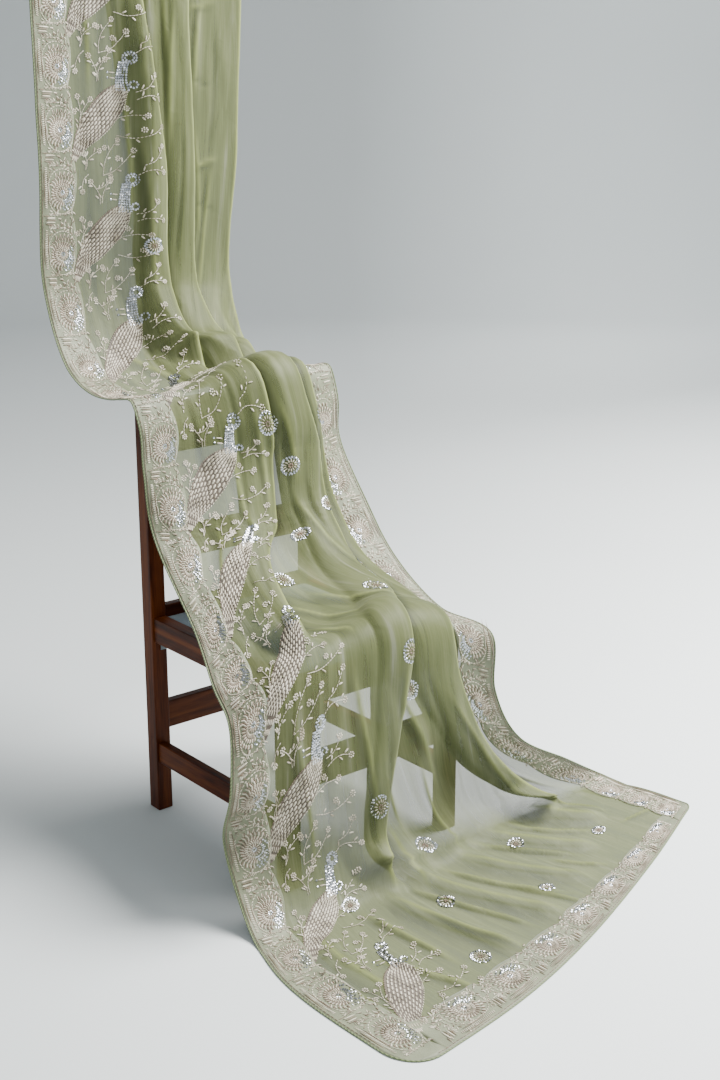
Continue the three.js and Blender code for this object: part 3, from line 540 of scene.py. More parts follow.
# Creases that the stiff cloth has kept from its folding and from the way it was laid: from a place to a
# place, then how far the crease bows aside, half its width, and its height, less than nothing for a trough.
CREASES = [
    # Down the hang
    ((118, -20), (126, 300), 6, 16, 2.6), ((172, 30), (150, 420), -8, 20, -2.8),
    ((196, 140), (214, 640), 10, 14, 3.0), ((262, 60), (252, 380), 4, 14, -2.2),
    ((232, 330), (268, 800), 8, 18, 3.4), ((120, 420), (134, 830), -6, 22, -2.6),
    ((62, 100), (70, 520), 5, 26, 2.2), ((30, 480), (44, 860), -5, 20, -2.2),
    ((470, -10), (486, 260), 5, 12, 3.0), ((508, 60), (490, 420), -7, 14, 3.4),
    ((520, 300), (500, 700), 8, 13, -3.0), ((470, 380), (478, 760), -4, 12, 3.2),
    ((425, 100), (440, 600), 6, 18, 2.6), ((722, 10), (730, 330), 4, 16, -2.6),
    ((770, 40), (752, 300), -9, 15, 3.4), ((800, 130), (786, 460), 10, 16, -2.8),
    ((748, 330), (772, 660), 8, 18, 3.6), ((806, 420), (790, 780), -8, 14, 3.0),
    ((722, 420), (735, 800), 5, 12, -2.6), ((704, 105), (812, 82), 6, 12, 2.2),
    ((720, 232), (806, 262), -6, 10, -1.9), ((735, 455), (826, 430), 8, 14, 2.6),
    ((728, 520), (830, 548), 5, 10, -2.6), ((1000, 60), (1015, 600), 9, 26, 3.0),
    ((920, 200), (905, 700), -9, 24, -3.0),
    # The bend and the swag
    ((20, 820), (98, 930), 8, 20, 3.0), ((60, 800), (150, 1010), -10, 20, -3.0),
    ((130, 830), (232, 1020), 12, 22, 3.6), ((186, 800), (270, 960), -8, 18, -3.2),
    ((470, 760), (520, 1000), 10, 18, 3.4), ((730, 700), (790, 1000), 12, 22, 3.6),
    ((150, 1030), (262, 1100), 6, 16, 2.8), ((20, 1000), (120, 1090), -6, 18, 2.4),
    ((800, 780), (770, 960), 8, 16, -3.0),
    # Down the chair's back and over the seat
    ((120, 1180), (140, 1480), 8, 18, -2.8), ((206, 1210), (240, 1560), -12, 20, 3.4),
    ((262, 1200), (282, 1500), 6, 14, 3.0), ((150, 1420), (110, 1720), 10, 26, 3.2),
    ((60, 1260), (52, 1600), -6, 24, 2.6), ((30, 1500), (66, 1840), 8, 22, -2.6),
    ((236, 1480), (196, 1780), 8, 20, -3.0), ((500, 1195), (540, 1420), 8, 16, 3.2),
    ((560, 1250), (590, 1600), -10, 16, -3.2), ((520, 1400), (600, 1720), 10, 18, 3.4),
    ((612, 1340), (630, 1700), 6, 14, 3.0), ((640, 1560), (600, 1860), -8, 20, -3.0),
    ((820, 1180), (836, 1500), 6, 16, 3.4), ((862, 1240), (880, 1640), -8, 14, -2.8),
    ((905, 1200), (896, 1560), 6, 18, 3.2), ((960, 1220), (980, 1640), 6, 26, 2.6),
    ((930, 1560), (960, 1880), -8, 22, -3.0), ((1080, 1240), (1092, 1700), 5, 22, 2.4),
    ((300, 1680), (420, 1880), 14, 24, 3.2), ((360, 1640), (500, 1840), -12, 20, -3.0),
    ((260, 1780), (330, 1920), 8, 20, 2.8), ((420, 1700), (540, 1900), 8, 22, 3.4),
    ((90, 1700), (160, 1900), 8, 26, -3.2), ((180, 1820), (120, 1960), -6, 20, 3.0),
    # From the seat's edge to the floor
    ((150, 1950), (176, 2330), 12, 26, 3.6), ((246, 1960), (224, 2300), -10, 24, -3.4),
    ((300, 1940), (330, 2260), 8, 22, 3.8), ((380, 1960), (352, 2380), 8, 20, -3.4),
    ((430, 1950), (420, 2200), -6, 18, 3.4), ((560, 1960), (640, 2260), 16, 24, 4.2),
    ((650, 1940), (740, 2280), -14, 22, -4.0), ((700, 2040), (830, 2330), 14, 22, 4.4),
    ((610, 2160), (600, 2400), -8, 20, 4.0), ((520, 2030), (500, 2330), 6, 20, 3.4),
    ((780, 2020), (900, 2300), 10, 20, -3.6), ((860, 2060), (960, 2330), -8, 20, 3.6),
    ((1080, 1960), (1090, 2300), 6, 24, 3.0), ((40, 1960), (30, 2120), 6, 26, 4.0),
    ((70, 2120), (50, 2330), -6, 26, -3.6), ((1000, 2080), (1030, 2380), -8, 22, 3.2),
    # Across the floor
    ((250, 2420), (290, 2700), 10, 20, 3.6), ((380, 2400), (500, 2760), 12, 16, 4.0),
    ((500, 2380), (660, 2740), -12, 16, 3.8), ((620, 2360), (800, 2660), 10, 16, 4.0),
    ((750, 2350), (920, 2600), -8, 16, 3.6), ((900, 2360), (1010, 2560), 8, 18, 3.4),
    ((360, 2500), (420, 2780), -8, 12, 3.0), ((560, 2560), (640, 2790), 6, 12, 2.8),
    ((720, 2560), (800, 2730), -6, 12, 2.6), ((60, 2480), (80, 2740), 8, 24, 3.4),
    ((170, 2560), (260, 2800), 10, 20, 3.2), ((960, 2620), (1090, 2700), 6, 18, 3.0),
]
CRINKLE = 0.8
FLOOR_GAIN = 2.0
FLOOR_STARTS = (2300, 60)


def crease_heights(width, along):
    height = np.zeros(np.broadcast(width, along).shape)
    for start, end, bow, half_width, tall in CREASES:
        share, aside = beside(start, end, width, along)
        near = np.clip(1 - np.abs(aside - 4 * bow * share * (1 - share)) / half_width, 0, 1)
        floor = 1 + FLOOR_GAIN * float(ease((start[1] - FLOOR_STARTS[0]) / FLOOR_STARTS[1]))
        height += floor * tall * ease(3 * share) * ease(3 * (1 - share)) * near ** 1.6
    waves = (np.sin(width / 17 + np.sin(along / 61)) * np.sin(along / 43 + 1.3 * np.sin(width / 37))
             + 0.6 * np.sin(width / 9.1 + along / 71) * np.sin(along / 23 - width / 53))
    return height + CRINKLE * waves


normals = net_normals()
net += normals * crease_heights(net_widths[None, :], net_alongs[:, None])[:, :, None]
net[:, :, 2] = np.maximum(net[:, :, 2], 0)
normals = net_normals()
chair_corner = np.array(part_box("leg_front_left")[0]) - np.array([CHAIR_LEFT, 0, 0]) * MM


def between(values, width, along):
    column = np.clip(np.asarray(width, float) / NET_ACROSS, 0, len(net_widths) - 1.001)
    row = (np.asarray(along, float) - CLOTH_TOP) / (CLOTH_END - CLOTH_TOP) * net_count
    row = np.clip(row, 0, net_count - 0.001)
    i, k = row.astype(int), column.astype(int)
    s, t = (row - i)[..., None], (column - k)[..., None]
    return ((values[i, k] * (1 - t) + values[i, k + 1] * t) * (1 - s)
            + (values[i + 1, k] * (1 - t) + values[i + 1, k + 1] * t) * s)


def cloth_point(width, along, lift):
    out = between(normals, width, along)
    out /= np.linalg.norm(out, axis=-1)[..., None]
    point = between(net, width, along) + out * np.asarray(lift, float)[..., None]
    return point * MM + chair_corner, out


def round_corner(width, along):
    left = width < CLOTH_WIDTH / 2
    radius = np.where(left, HEM_CORNER_LEFT, HEM_CORNER_RIGHT)
    edge = np.where(left, width, CLOTH_WIDTH - width)
    a = (radius - edge) / radius
    b = (along - (CLOTH_END - radius)) / radius
    inside = (a > 0) & (b > 0)
    a, b = np.clip(a, 0, 1), np.clip(b, 0, 1)
    drawn = radius - radius * a * np.sqrt(1 - b * b / 2)
    drawn_along = CLOTH_END - radius + radius * b * np.sqrt(1 - a * a / 2)
    return (np.where(inside, np.where(left, drawn, CLOTH_WIDTH - drawn), width),
            np.where(inside, drawn_along, along))


# What the cloth's colour reads: how near a place is to the pressed edge of a fold or the crest of a crease,
# where a painted highlight makes it paler, and to its foot, where painted shade makes it darker. The painted
# shade at the feet of the pleats grows darker between two places along.
EDGE_PLACE = 6
EDGE_SPREAD = 6
CREASE_EDGE = 8
CREASE_SHINE = 0.5
CREASE_SHADE = 0.4
SHADE_FOOT_SHARE = 0.7
PAINTED_SHADE_SPREAD = 15
PAINTED_SHADE_DEPTH = (0.35, 0.85)
SHADE_DEEPER_AT = (860, 1180)
RIDGES_MARKED_FROM = 2200
SAME_ROW = 0.06


def fold_marks(width, along):
    marks, painted_shades = np.zeros(len(width)), np.zeros(len(width))
    for place in np.unique(np.round(along, 1)):
        here = np.abs(along - place) < SAME_ROW
        breaks = section_at(place)[0]
        row = pleats_at(max(place, 0))[0]
        depth = np.interp(place, SHADE_DEEPER_AT, PAINTED_SHADE_DEPTH)
        edges = [(breaks[4 * k + 1], shut_share(row[3 * k + 2])) for k in range(3)]
        edges.append((breaks[UNDER_STARTS], shut_share(row[10])))
        # Painted highlight along each fold's pressed edge.
        for edge, shut in edges:
            away = np.abs(width[here] - (edge + EDGE_PLACE)) / EDGE_SPREAD
            marks[here] = np.maximum(marks[here], shut * np.exp(-away ** 2))
        # Painted shade where each pleat's lap lies over the cloth under it.
        for k in range(3):
            shut = edges[k][1]
            under = breaks[4 * k + 4] + breaks[4 * k + 3] - breaks[4 * k + 2] + EDGE_PLACE
            away = (width[here] - under) / PAINTED_SHADE_SPREAD
            painted_shades[here] = np.maximum(painted_shades[here], depth * shut * np.exp(-away ** 2))
    floor_ridges = [(start, end, 0, half_width, tall) for start, end, half_width, tall in RIDGES
                    if start[1] > RIDGES_MARKED_FROM]
    for start, end, bow, half_width, tall in CREASES + floor_ridges:
        share, aside = beside(start, end, width, along)
        away = aside - 4 * bow * share * (1 - share)
        ends = ease(3 * share) * ease(3 * (1 - share))
        # Painted highlight along a crease's crest.
        if tall > 0:
            near = np.clip(1 - np.abs(away) / CREASE_EDGE, 0, 1)
            marks = np.maximum(marks, CREASE_SHINE * ends * near)
        # Painted shade at a crease's foot, beside a ridge or along a trough.
        foot = half_width * SHADE_FOOT_SHARE
        near = np.clip(1 - np.abs(away + foot if tall > 0 else away) / foot, 0, 1)
        painted_shades = np.maximum(painted_shades, CREASE_SHADE * ends * near)
    return marks, painted_shades


def cloth_sheet(name, columns, rows, place, lift, material, stood_for=(), folds=False):
    shape = bmesh.new()
    shape.loops.layers.uv.new("cloth_mm")
    bmesh.ops.create_grid(shape, x_segments=columns, y_segments=rows, size=0.5, calc_uvs=True)
    shape.verts.ensure_lookup_table()
    shares = np.array([vertex.co for vertex in shape.verts]) + 0.5
    width, along = round_corner(*place(shares[:, 0], 1 - shares[:, 1]))
    points, _ = cloth_point(width, along, np.full(len(width), lift))
    uv = shape.loops.layers.uv.active
    for vertex, point in zip(shape.verts, points.tolist()):
        vertex.co = point
    # The folded cloth carries its painted highlight and painted shade marks.
    if folds:
        marked_at = fold_marks(*place(shares[:, 0], 1 - shares[:, 1]))
        for layer, marks in zip(("pressed_edge_highlight", "painted_fold_shade"), marked_at):
            marked = shape.verts.layers.float.new(layer)
            for vertex, mark in zip(shape.verts, marks.tolist()):
                vertex[marked] = mark
    for face in shape.faces:
        face.smooth = True
        for loop in face.loops:
            i = loop.vert.index
            loop[uv].uv = (width[i] * MM, along[i] * MM)
    return make_piece(name, shape, material, stood_for)


# The organza's colour: slubs of the weave vary its tone at random, and long streaks paint in a paler silvery
# sheen, a painted highlight; the palest stop of its tones is that painted sheen.
SLUB = (380, 9, 1)
SHEEN_STREAK = (42, 3.2, 1)
ORGANZA_AND_SHEEN_TONES = [(0.15, (0.092, 0.106, 0.041)), (0.5, (0.115, 0.130, 0.053)),
                 (0.8, (0.138, 0.152, 0.073)), (1.0, (0.18, 0.19, 0.125))]
# The colour of the painted highlight, then the colour of the painted shade.
PAINTED_HIGHLIGHT_TONE = (0.25, 0.28, 0.095)
PAINTED_SHADE_TONE = (0.022, 0.027, 0.012)


def cloth_place(material):
    return texture(material, "UVMap", {}, uv_map="cloth_mm").outputs[0]


def mixed(material, share, first, second):
    return texture(material, "MixRGB", {"Fac": share, "Color1": first, "Color2": (*second, 1)}).outputs[0]


def organza_finish():
    material, shader = new_finish(
        "sage_organza", Roughness=0.52, Sheen_Weight=0.05, Specular_IOR_Level=0.14)
    place = cloth_place(material)
    slub = noise(material, stretched(material, place, SLUB), scale=1.0, detail=1.0)
    sheen_streak = noise(material, stretched(material, place, SHEEN_STREAK), scale=1.0, detail=3.0, distortion=0.7)
    crinkle = noise(material, place, scale=30.0, detail=3.0, distortion=1.0)
    pressed_highlight, painted_shade = [texture(material, "Attribute", {}, attribute_name=name).outputs["Fac"]
                       for name in ("pressed_edge_highlight", "painted_fold_shade")]
    # Random slub tone mixed with painted sheen streaks; the same mix sets how sheer the cloth is.
    tone = weighed(material, slub, 0.35, sheen_streak)
    spread = texture(material, "MapRange", {"Value": tone, "From Min": 0.45, "From Max": 0.95}).outputs[0]
    # A painted highlight makes the colour paler along pressed edges and crease crests.
    painted_light_share = texture(material, "Math", {0: pressed_highlight, 1: 0.75}, operation="MULTIPLY").outputs[0]
    colour = mixed(material, painted_light_share, shades(material, spread, ORGANZA_AND_SHEEN_TONES), PAINTED_HIGHLIGHT_TONE)
    # Painted shade darkens the feet of pleats and creases.
    colour = mixed(material, painted_shade, colour, PAINTED_SHADE_TONE)
    sheer = texture(material, "MapRange", {"Value": spread, "To Min": 0.76, "To Max": 0.86}).outputs[0]
    # The cloth is also more opaque there, where its layers meet at a pressed edge and along a crease's
    # crest.
    closed = texture(material, "Math", {0: pressed_highlight, 1: 0.4, 2: sheer},
                     operation="MULTIPLY_ADD", use_clamp=True)
    relief = bump(material, weighed(material, slub, 0.18, crinkle), strength=0.5, distance=0.003)
    feed(material, shader, Base_Color=colour, Alpha=closed.outputs[0], Normal=relief)
    return material


CLOTH_COLUMNS = 300
CLOTH_ROWS = 330
CLOTH_LIFT = 1.0
organza = organza_finish()
saree = cloth_sheet(
    "saree_cloth", CLOTH_COLUMNS, CLOTH_ROWS,
    lambda across, down: (across * CLOTH_WIDTH, CLOTH_TOP + down * (CLOTH_END - CLOTH_TOP)),
    CLOTH_LIFT, organza,
    ["saree_turnover", "saree_hang", "saree_swag", "saree_back", "saree_fall", "saree_spread"], folds=True)


# The borders are backed with strips of a closer woven pale green silk, laid on the organza and sewn
# down. Their inner edges are cut in shallow scallops, one for each motif.
MOTIF_PITCH = 133
SCALLOP = 7
BACKING_COLUMNS = 14
END_COLUMNS = 150
BACKING_LIFT = 1.5
END_LIFT = 1.3
BACKING_WALL = 0.0005
BACKING_TONES = [(0.3, (0.115, 0.128, 0.070)), (0.5, (0.155, 0.170, 0.098)), (0.75, (0.215, 0.230, 0.145))]


def scalloped(place):
    return BORDER_WIDTH - 2 * SCALLOP + 2 * SCALLOP * np.abs(np.sin(math.pi * place / MOTIF_PITCH)) ** 0.7


border_silk, silk_shader = new_finish("border_silk", Roughness=0.5, Sheen_Weight=0.3)
silk_place = cloth_place(border_silk)
silk_tone = shades(border_silk, noise(border_silk, silk_place, scale=26.0, detail=4.0), BACKING_TONES)
silk_relief = bump(border_silk, woven(border_silk, silk_place, 220.0, 1.0), strength=0.3, distance=0.0008)
feed(border_silk, silk_shader, Base_Color=silk_tone, Normal=silk_relief)


def border_place(side):
    def place(across, down):
        along = CLOTH_TOP + down * (CLOTH_END - CLOTH_TOP)
        inner = scalloped(along)
        return (across * inner if side == "left" else CLOTH_WIDTH - (1 - across) * inner), along
    return place


def end_place(across, down):
    width = BORDER_WIDTH - SCALLOP + across * (CLOTH_WIDTH - 2 * (BORDER_WIDTH - SCALLOP))
    return width, CLOTH_END - (1 - down) * scalloped(width)


borders = [
    cloth_sheet(f"border_{side}_silk", columns, rows, place, lift, border_silk,
                [f"border_{side}"])
    for side, columns, rows, place, lift in (
        ("left", BACKING_COLUMNS, CLOTH_ROWS, border_place("left"), BACKING_LIFT),
        ("right", BACKING_COLUMNS, CLOTH_ROWS, border_place("right"), BACKING_LIFT),
        ("end", END_COLUMNS, BACKING_COLUMNS, end_place, END_LIFT))
]
for border in borders:
    wall = border.modifiers.new("wall", "SOLIDIFY")
    wall.thickness = BACKING_WALL
    wall.offset = 1


# The piping is a narrow braided cord of dark green thread, sewn in one length down the cloth's left edge,
# round the hem and up its right edge.
CORD_RADIUS = 1.7
CORD_SIDES = 8
CORD_STEP = 7
CORD_LIFT = 1.4
CORNER_STEPS = 14
CORD_TONES = [(0.2, (0.06, 0.085, 0.03)), (0.8, (0.17, 0.21, 0.08))]

cord_braid, cord_shader = new_finish("piping_braid", Roughness=0.6, Sheen_Weight=0.3)
twist = texture(cord_braid, "TexWave", {"Vector": cloth_place(cord_braid), "Scale": 90.0, "Distortion": 0.8},
                bands_direction="DIAGONAL").outputs["Fac"]
cord_relief = bump(cord_braid, twist, strength=0.5, distance=0.0005)
feed(cord_braid, cord_shader, Base_Color=shades(cord_braid, twist, CORD_TONES), Normal=cord_relief)


def hem_corner(width, radius, from_angle, to_angle):
    turn = np.linspace(from_angle, to_angle, CORNER_STEPS)
    return width + radius * np.cos(turn), CLOTH_END - radius + radius * np.sin(turn)


down_edge = np.arange(CLOTH_TOP, CLOTH_END - HEM_CORNER_LEFT, CORD_STEP)
hem_edge = np.arange(HEM_CORNER_LEFT, CLOTH_WIDTH - HEM_CORNER_RIGHT, CORD_STEP)
up_edge = np.arange(CLOTH_END - HEM_CORNER_RIGHT, CLOTH_TOP, -CORD_STEP)
left_turn = hem_corner(HEM_CORNER_LEFT, HEM_CORNER_LEFT, math.pi, math.pi / 2)
right_turn = hem_corner(CLOTH_WIDTH - HEM_CORNER_RIGHT, HEM_CORNER_RIGHT, math.pi / 2, 0)
edge_width = np.concatenate(
    [down_edge * 0, left_turn[0], hem_edge[1:], right_turn[0], up_edge[1:] * 0 + CLOTH_WIDTH])
edge_along = np.concatenate(
    [down_edge, left_turn[1], hem_edge[1:] * 0 + CLOTH_END, right_turn[1], up_edge[1:]])
edge_points, edge_out = cloth_point(edge_width, edge_along, np.full(len(edge_width), CORD_LIFT))
edge_run = np.gradient(edge_points, axis=0)
edge_away = np.cross(edge_run, edge_out)
edge_away /= np.linalg.norm(edge_away, axis=1)[:, None]
edge_centre = edge_points + edge_away * CORD_RADIUS * MM
edge_centre[:, 2] = np.maximum(edge_centre[:, 2], CORD_RADIUS * MM)
piping_shape = bmesh.new()
piping_shape.loops.layers.uv.new("cloth_mm")
bmesh.ops.create_grid(
    piping_shape, x_segments=CORD_SIDES, y_segments=len(edge_centre) - 1, size=0.5, calc_uvs=True)
for vertex in piping_shape.verts:
    i = round((vertex.co.y + 0.5) * (len(edge_centre) - 1))
    turn = 2 * math.pi * (vertex.co.x + 0.5)
    spoke = math.cos(turn) * edge_away[i] + math.sin(turn) * edge_out[i]
    vertex.co = edge_centre[i] + CORD_RADIUS * MM * spoke
cord_uv = piping_shape.loops.layers.uv.active
for face in piping_shape.faces:
    face.smooth = True
    for loop in face.loops:
        u, v = loop[cord_uv].uv
        loop[cord_uv].uv = (u * 2 * math.pi * CORD_RADIUS * MM, v * len(edge_centre) * CORD_STEP * MM)
bmesh.ops.remove_doubles(piping_shape, verts=piping_shape.verts[:], dist=1e-6)
bmesh.ops.recalc_face_normals(piping_shape, faces=piping_shape.faces[:])
piping = make_piece("piping_cord", piping_shape, cord_braid,
                    ["piping_left", "piping_right", "piping_end"])


# The embroidery is worked by hand in cream and gold-brown thread with silver sequins. A motif is a list of
# stitches: the thread, the stitch's place and turn in the motif, and its length and breadth. Each is
# stamped on the flat cloth, and all of them are sewn on at the end of this section.
THREAD_HIGH = 1.5
SEQUIN_HIGH = 1.2
STITCH_LIFT = {"border": 2.5, "field": 2.0}
dice = np.random.default_rng(11)
stitches = {}


def stamp(group, motif, width, along, turn=0.0, mirror=False, scale=1.0):
    c, s = math.cos(turn), math.sin(turn)
    for thread, x, y, angle, long, broad in motif:
        if mirror:
            x, angle = -x, math.pi - angle
        stitches.setdefault((group, thread), []).append(
            (width + scale * (x * c - y * s), along + scale * (x * s + y * c), angle + turn,
             long * scale, broad * scale))


def along_curve(points, step):
    points = np.array(points, float)
    stops = np.concatenate([[0], np.cumsum(np.linalg.norm(np.diff(points, axis=0), axis=1))])
    curve = smooth_rows(stops, points)
    places = np.arange(step / 2, stops[-1], step)
    run = curve(np.minimum(places + 0.5, stops[-1])) - curve(np.maximum(places - 0.5, 0))
    return curve(places), np.arctan2(run[:, 1], run[:, 0])


def ring(thread, x, y, radius, count, long, broad, start=0.0, turned=True):
    turns = (np.arange(count) + start) * 2 * math.pi / count
    return [(thread, x + radius * math.cos(turn), y + radius * math.sin(turn), turn if turned else 0,
             long, broad) for turn in turns]


# Border motif: between pairs of bars lies a curled leaf filled with waved stitches that fan out from an
# eye, outlined in cream, with a crescent of sequins on the side of the open field.
EYE = (54, 80)
FAN_RAYS = 26
FAN_STEPS = (9, 17, 25, 33, 41)
BARS = ((0, 30), (9, 26))
BAR_START = 10
BAR_TILT = 0.04
EDGE_LINES = (8.5, 18)
LADDER = (26, 112, 4.0)
FILLER_ALONG = (16, 131, 6.4)
FILLER_ACROSS = (25, 84, 8.6)
OUTLINE_STITCHES = 44
SPRIGS = ((52, 12, 0.7), (60, 8, 2.2), (70, 20, 0.9), (80, 8, 2.0), (58, 24, 1.6), (82, 124, 0.6),
          (60, 126, 2.4), (70, 122, 1.2), (84, 34, 1.4), (66, 28, 2.6), (46, 2, 0.1), (76, 2, 1.1))


# How far the leaf's outline lies from its eye on each side
def leaf_reach(turn):
    return 28 + 18 * abs(math.sin(turn)) ** 1.5 - 4 * math.cos(turn - 0.7)


def leaf_fan():
    fan = []
    for i in range(FAN_RAYS):
        turn = 2 * math.pi * i / FAN_RAYS
        for k, radius in enumerate(FAN_STEPS):
            if radius > leaf_reach(turn) - 2 or radius < 12 and i % 2:
                continue
            bend = turn + 0.2 * math.sin(radius / 5)
            x, y = EYE[0] + radius * math.cos(bend), EYE[1] + radius * math.sin(bend)
            if radius > 15 and math.cos(turn - 0.5) > 0.55:
                fan += [("silver", x + dx, y + dy, 0, 4.4, 4.4) for dx, dy in ((0, 0), (3.4, 3.6))]
            else:
                wave = bend + 0.3 * (-1) ** k
                fan.append(("cream", x, y, wave, 10.5, 3.4))
                fan.append(("gold", x - 3 * math.sin(wave), y + 3 * math.cos(wave), wave, 9.5, 2.6))
    return fan


def border_motif():
    motif = []
    for place, long in BARS:
        motif.append(("cream", BAR_START + long / 2, place, BAR_TILT, long, 4.0))
        motif.append(("gold", BAR_START + long / 2, place + 4.4, BAR_TILT, long, 2.2))
    motif.append(("gold", 14, -5, BAR_TILT, 16, 2.0))
    motif += [("gold", x, 68, math.pi / 2, 92, 2.0) for x in EDGE_LINES]
    motif += [("cream", 13.2, y, 0.3, 8, 2.4) for y in np.arange(*LADDER)]
    motif += [("cream", 20 + 3.6 * k, 19 + 1.5 * (k % 2), 1.9, 9, 1.9) for k in range(7)]
    motif += [("cream", 22 + 3.6 * k, 125 + 1.5 * (k % 2), 1.2, 9, 1.9) for k in range(8)]
    motif += leaf_fan()
    for i, y in enumerate(np.arange(*FILLER_ALONG)):
        for k, x in enumerate(np.arange(*FILLER_ACROSS)):
            turn = math.atan2(y - EYE[1], x - EYE[0])
            if math.hypot(x - EYE[0], y - EYE[1]) > leaf_reach(turn) + 5:
                lean = 0.5 * (-1) ** i + 0.2 * k
                motif.append(("cream" if (i + k) % 3 else "gold", x, y, lean, 9, 2.6))
    for turn in np.linspace(0, 2 * math.pi, OUTLINE_STITCHES, endpoint=False):
        reach = leaf_reach(turn) + 2
        x, y = EYE[0] + reach * math.cos(turn), EYE[1] + reach * math.sin(turn)
        motif.append(("cream", x, y, turn + math.pi / 2, 7.0, 2.3))
    motif += ring("silver", *EYE, 4, 6, 4.0, 4.0, turned=False)
    for x, y, turn in SPRIGS:
        motif.append(("cream", x, y, turn, 10, 2.9))
        motif.append(("gold", x + 2.4, y + 2.6, turn + 0.25, 8, 2.0))
    return motif


FIRST_MOTIF = CLOTH_TOP - 7
LAST_MOTIF_ROOM = 30
EDGE_STITCH_AT = 4
EDGE_STITCH_STEP = 9
EDGE_STITCH = (9.5, 1.8)
FIRST_EDGE_STITCH = CLOTH_TOP + 6

border_stitches = border_motif()
for along in np.arange(FIRST_MOTIF, CLOTH_END - LAST_MOTIF_ROOM, MOTIF_PITCH):
    stamp("border", border_stitches, 0, along)
    stamp("border", border_stitches, CLOTH_WIDTH, along, mirror=True)
end_count = int((CLOTH_WIDTH - BORDER_WIDTH) // MOTIF_PITCH)
end_start = (CLOTH_WIDTH - end_count * MOTIF_PITCH) / 2
for i in range(end_count):
    stamp("border", border_stitches, end_start + i * MOTIF_PITCH, CLOTH_END, turn=-math.pi / 2)
for width in (EDGE_STITCH_AT, CLOTH_WIDTH - EDGE_STITCH_AT):
    for along in np.arange(FIRST_EDGE_STITCH, CLOTH_END - HEM_CORNER_LEFT, EDGE_STITCH_STEP):
        stamp("border", [("gold", 0, 0, math.pi / 2, *EDGE_STITCH)], width, along)
for width in np.arange(HEM_CORNER_LEFT, CLOTH_WIDTH - HEM_CORNER_RIGHT, EDGE_STITCH_STEP):
    stamp("border", [("gold", 0, 0, 0, *EDGE_STITCH)], width, CLOTH_END - EDGE_STITCH_AT)


# Peacock: rows of cream stitches over a dark ground make the body and tail, and sequins the neck and the
# head. One after another they stand in the band beside the left border.
PEACOCK_PITCH = 261
PEACOCK_WIDTH = 76
PEACOCK_SCALE = 1.16
FIRST_PEACOCK = -68
TAIL_ROOM = 186
BODY_ROWS = 9
BODY_STEPS = 17
NECK_ROWS = (-9, -4.5, 0, 4.5, 9)
NECK_LINE = ((112, 70, 1.15), (110, 50, 0.95), (112, 32, 0.8), (116, 14, 0.75))
SEQUIN_RINGS = ((124, 9, 10.5, 14, 4.8), (124, 9, 6.5, 8, 4.8), (129, 58, 6, 8, 4.6))
WING_BARS = (36, 46)
BODY_LINE = [(0.0, 112, 64, 11), (0.18, 97, 82, 23), (0.38, 76, 106, 28), (0.58, 50, 134, 25),
             (0.78, 26, 162, 16), (0.92, 12, 186, 8), (1.0, 5, 202, 2)]
body_at = smooth_rows([row[0] for row in BODY_LINE], [row[1:] for row in BODY_LINE])


def body_place(share, row):
    x, y, half = body_at(share)[0]
    ahead = body_at(min(share + 0.01, 1))[0] - body_at(max(share - 0.01, 0))[0]
    turn = math.atan2(ahead[1], ahead[0])
    return x - math.sin(turn) * half * row, y + math.cos(turn) * half * row, turn


def body_rows():
    rows = []
    for k in range(BODY_ROWS):
        row = (k + 0.5) / BODY_ROWS * 2 - 1
        for i in range(BODY_STEPS):
            share = (i + 0.25 + 0.5 * (k % 2)) / BODY_STEPS
            half = body_at(share)[0][2]
            if half / BODY_ROWS < 1.4 and k % 2 or share > 0.97:
                continue
            broad = min(max(2 * half / BODY_ROWS * 0.68, 2.4), 5.2)
            rows.append(("cream", *body_place(share, row * 0.94), 11.4, broad))
    for row, thread in ((-1.03, "cream"), (1.03, "gold")):
        rows += [(thread, *body_place(share, row), 5.0, 1.9) for share in np.arange(0.01, 0.99, 0.03)]
    return rows


def peacock():
    motif = body_rows()
    for offset in NECK_ROWS:
        neck = [(x + offset * spread, y) for x, y, spread in NECK_LINE]
        here, _ = along_curve(neck, 4.6)
        motif += [("silver", x, y, 0, 4.7, 4.7) for x, y in here]
    for x, y, radius, count, size in SEQUIN_RINGS:
        motif += ring("silver", x, y, radius, count, size, size, turned=False)
    for y in WING_BARS:
        motif.append(("cream", 92, y, 0.1, 14, 2.8))
        motif.append(("silver", 83, y - 1, 0, 4.4, 4.4))
    return motif


# Sprays: curved stems with slender leaves end in flowers of small dots, and fill the band between the
# peacocks. Each starts and ends at a place of the band, bows aside, and carries some leaves.
SPRAYS = [
    ((8, 172), (14, 92), 7, 4), ((12, 160), (34, 104), -6, 3), ((22, 250), (56, 206), -8, 3),
    ((22, 250), (24, 212), 5, 2), ((62, 262), (128, 214), 10, 4), ((62, 262), (98, 190), -8, 4),
    ((84, 156), (162, 130), -10, 4), ((100, 176), (190, 164), 12, 4), ((138, 84), (178, 52), 6, 3),
    ((140, 100), (196, 96), -8, 3), ((56, 62), (36, 12), 6, 3), ((60, 60), (78, 14), -6, 3),
    ((150, 242), (186, 206), 6, 3), ((140, 262), (196, 254), -8, 3), ((30, 258), (12, 296), 6, 2),
    ((46, 290), (84, 262), 6, 2),
]
SPRAY_INSET = 14
SWAY = 4


def flower(x, y):
    return ring("cream", x, y, 4.7, 7, 4.4, 3.9) + [("cream", x, y, 0, 3.6, 3.4)]


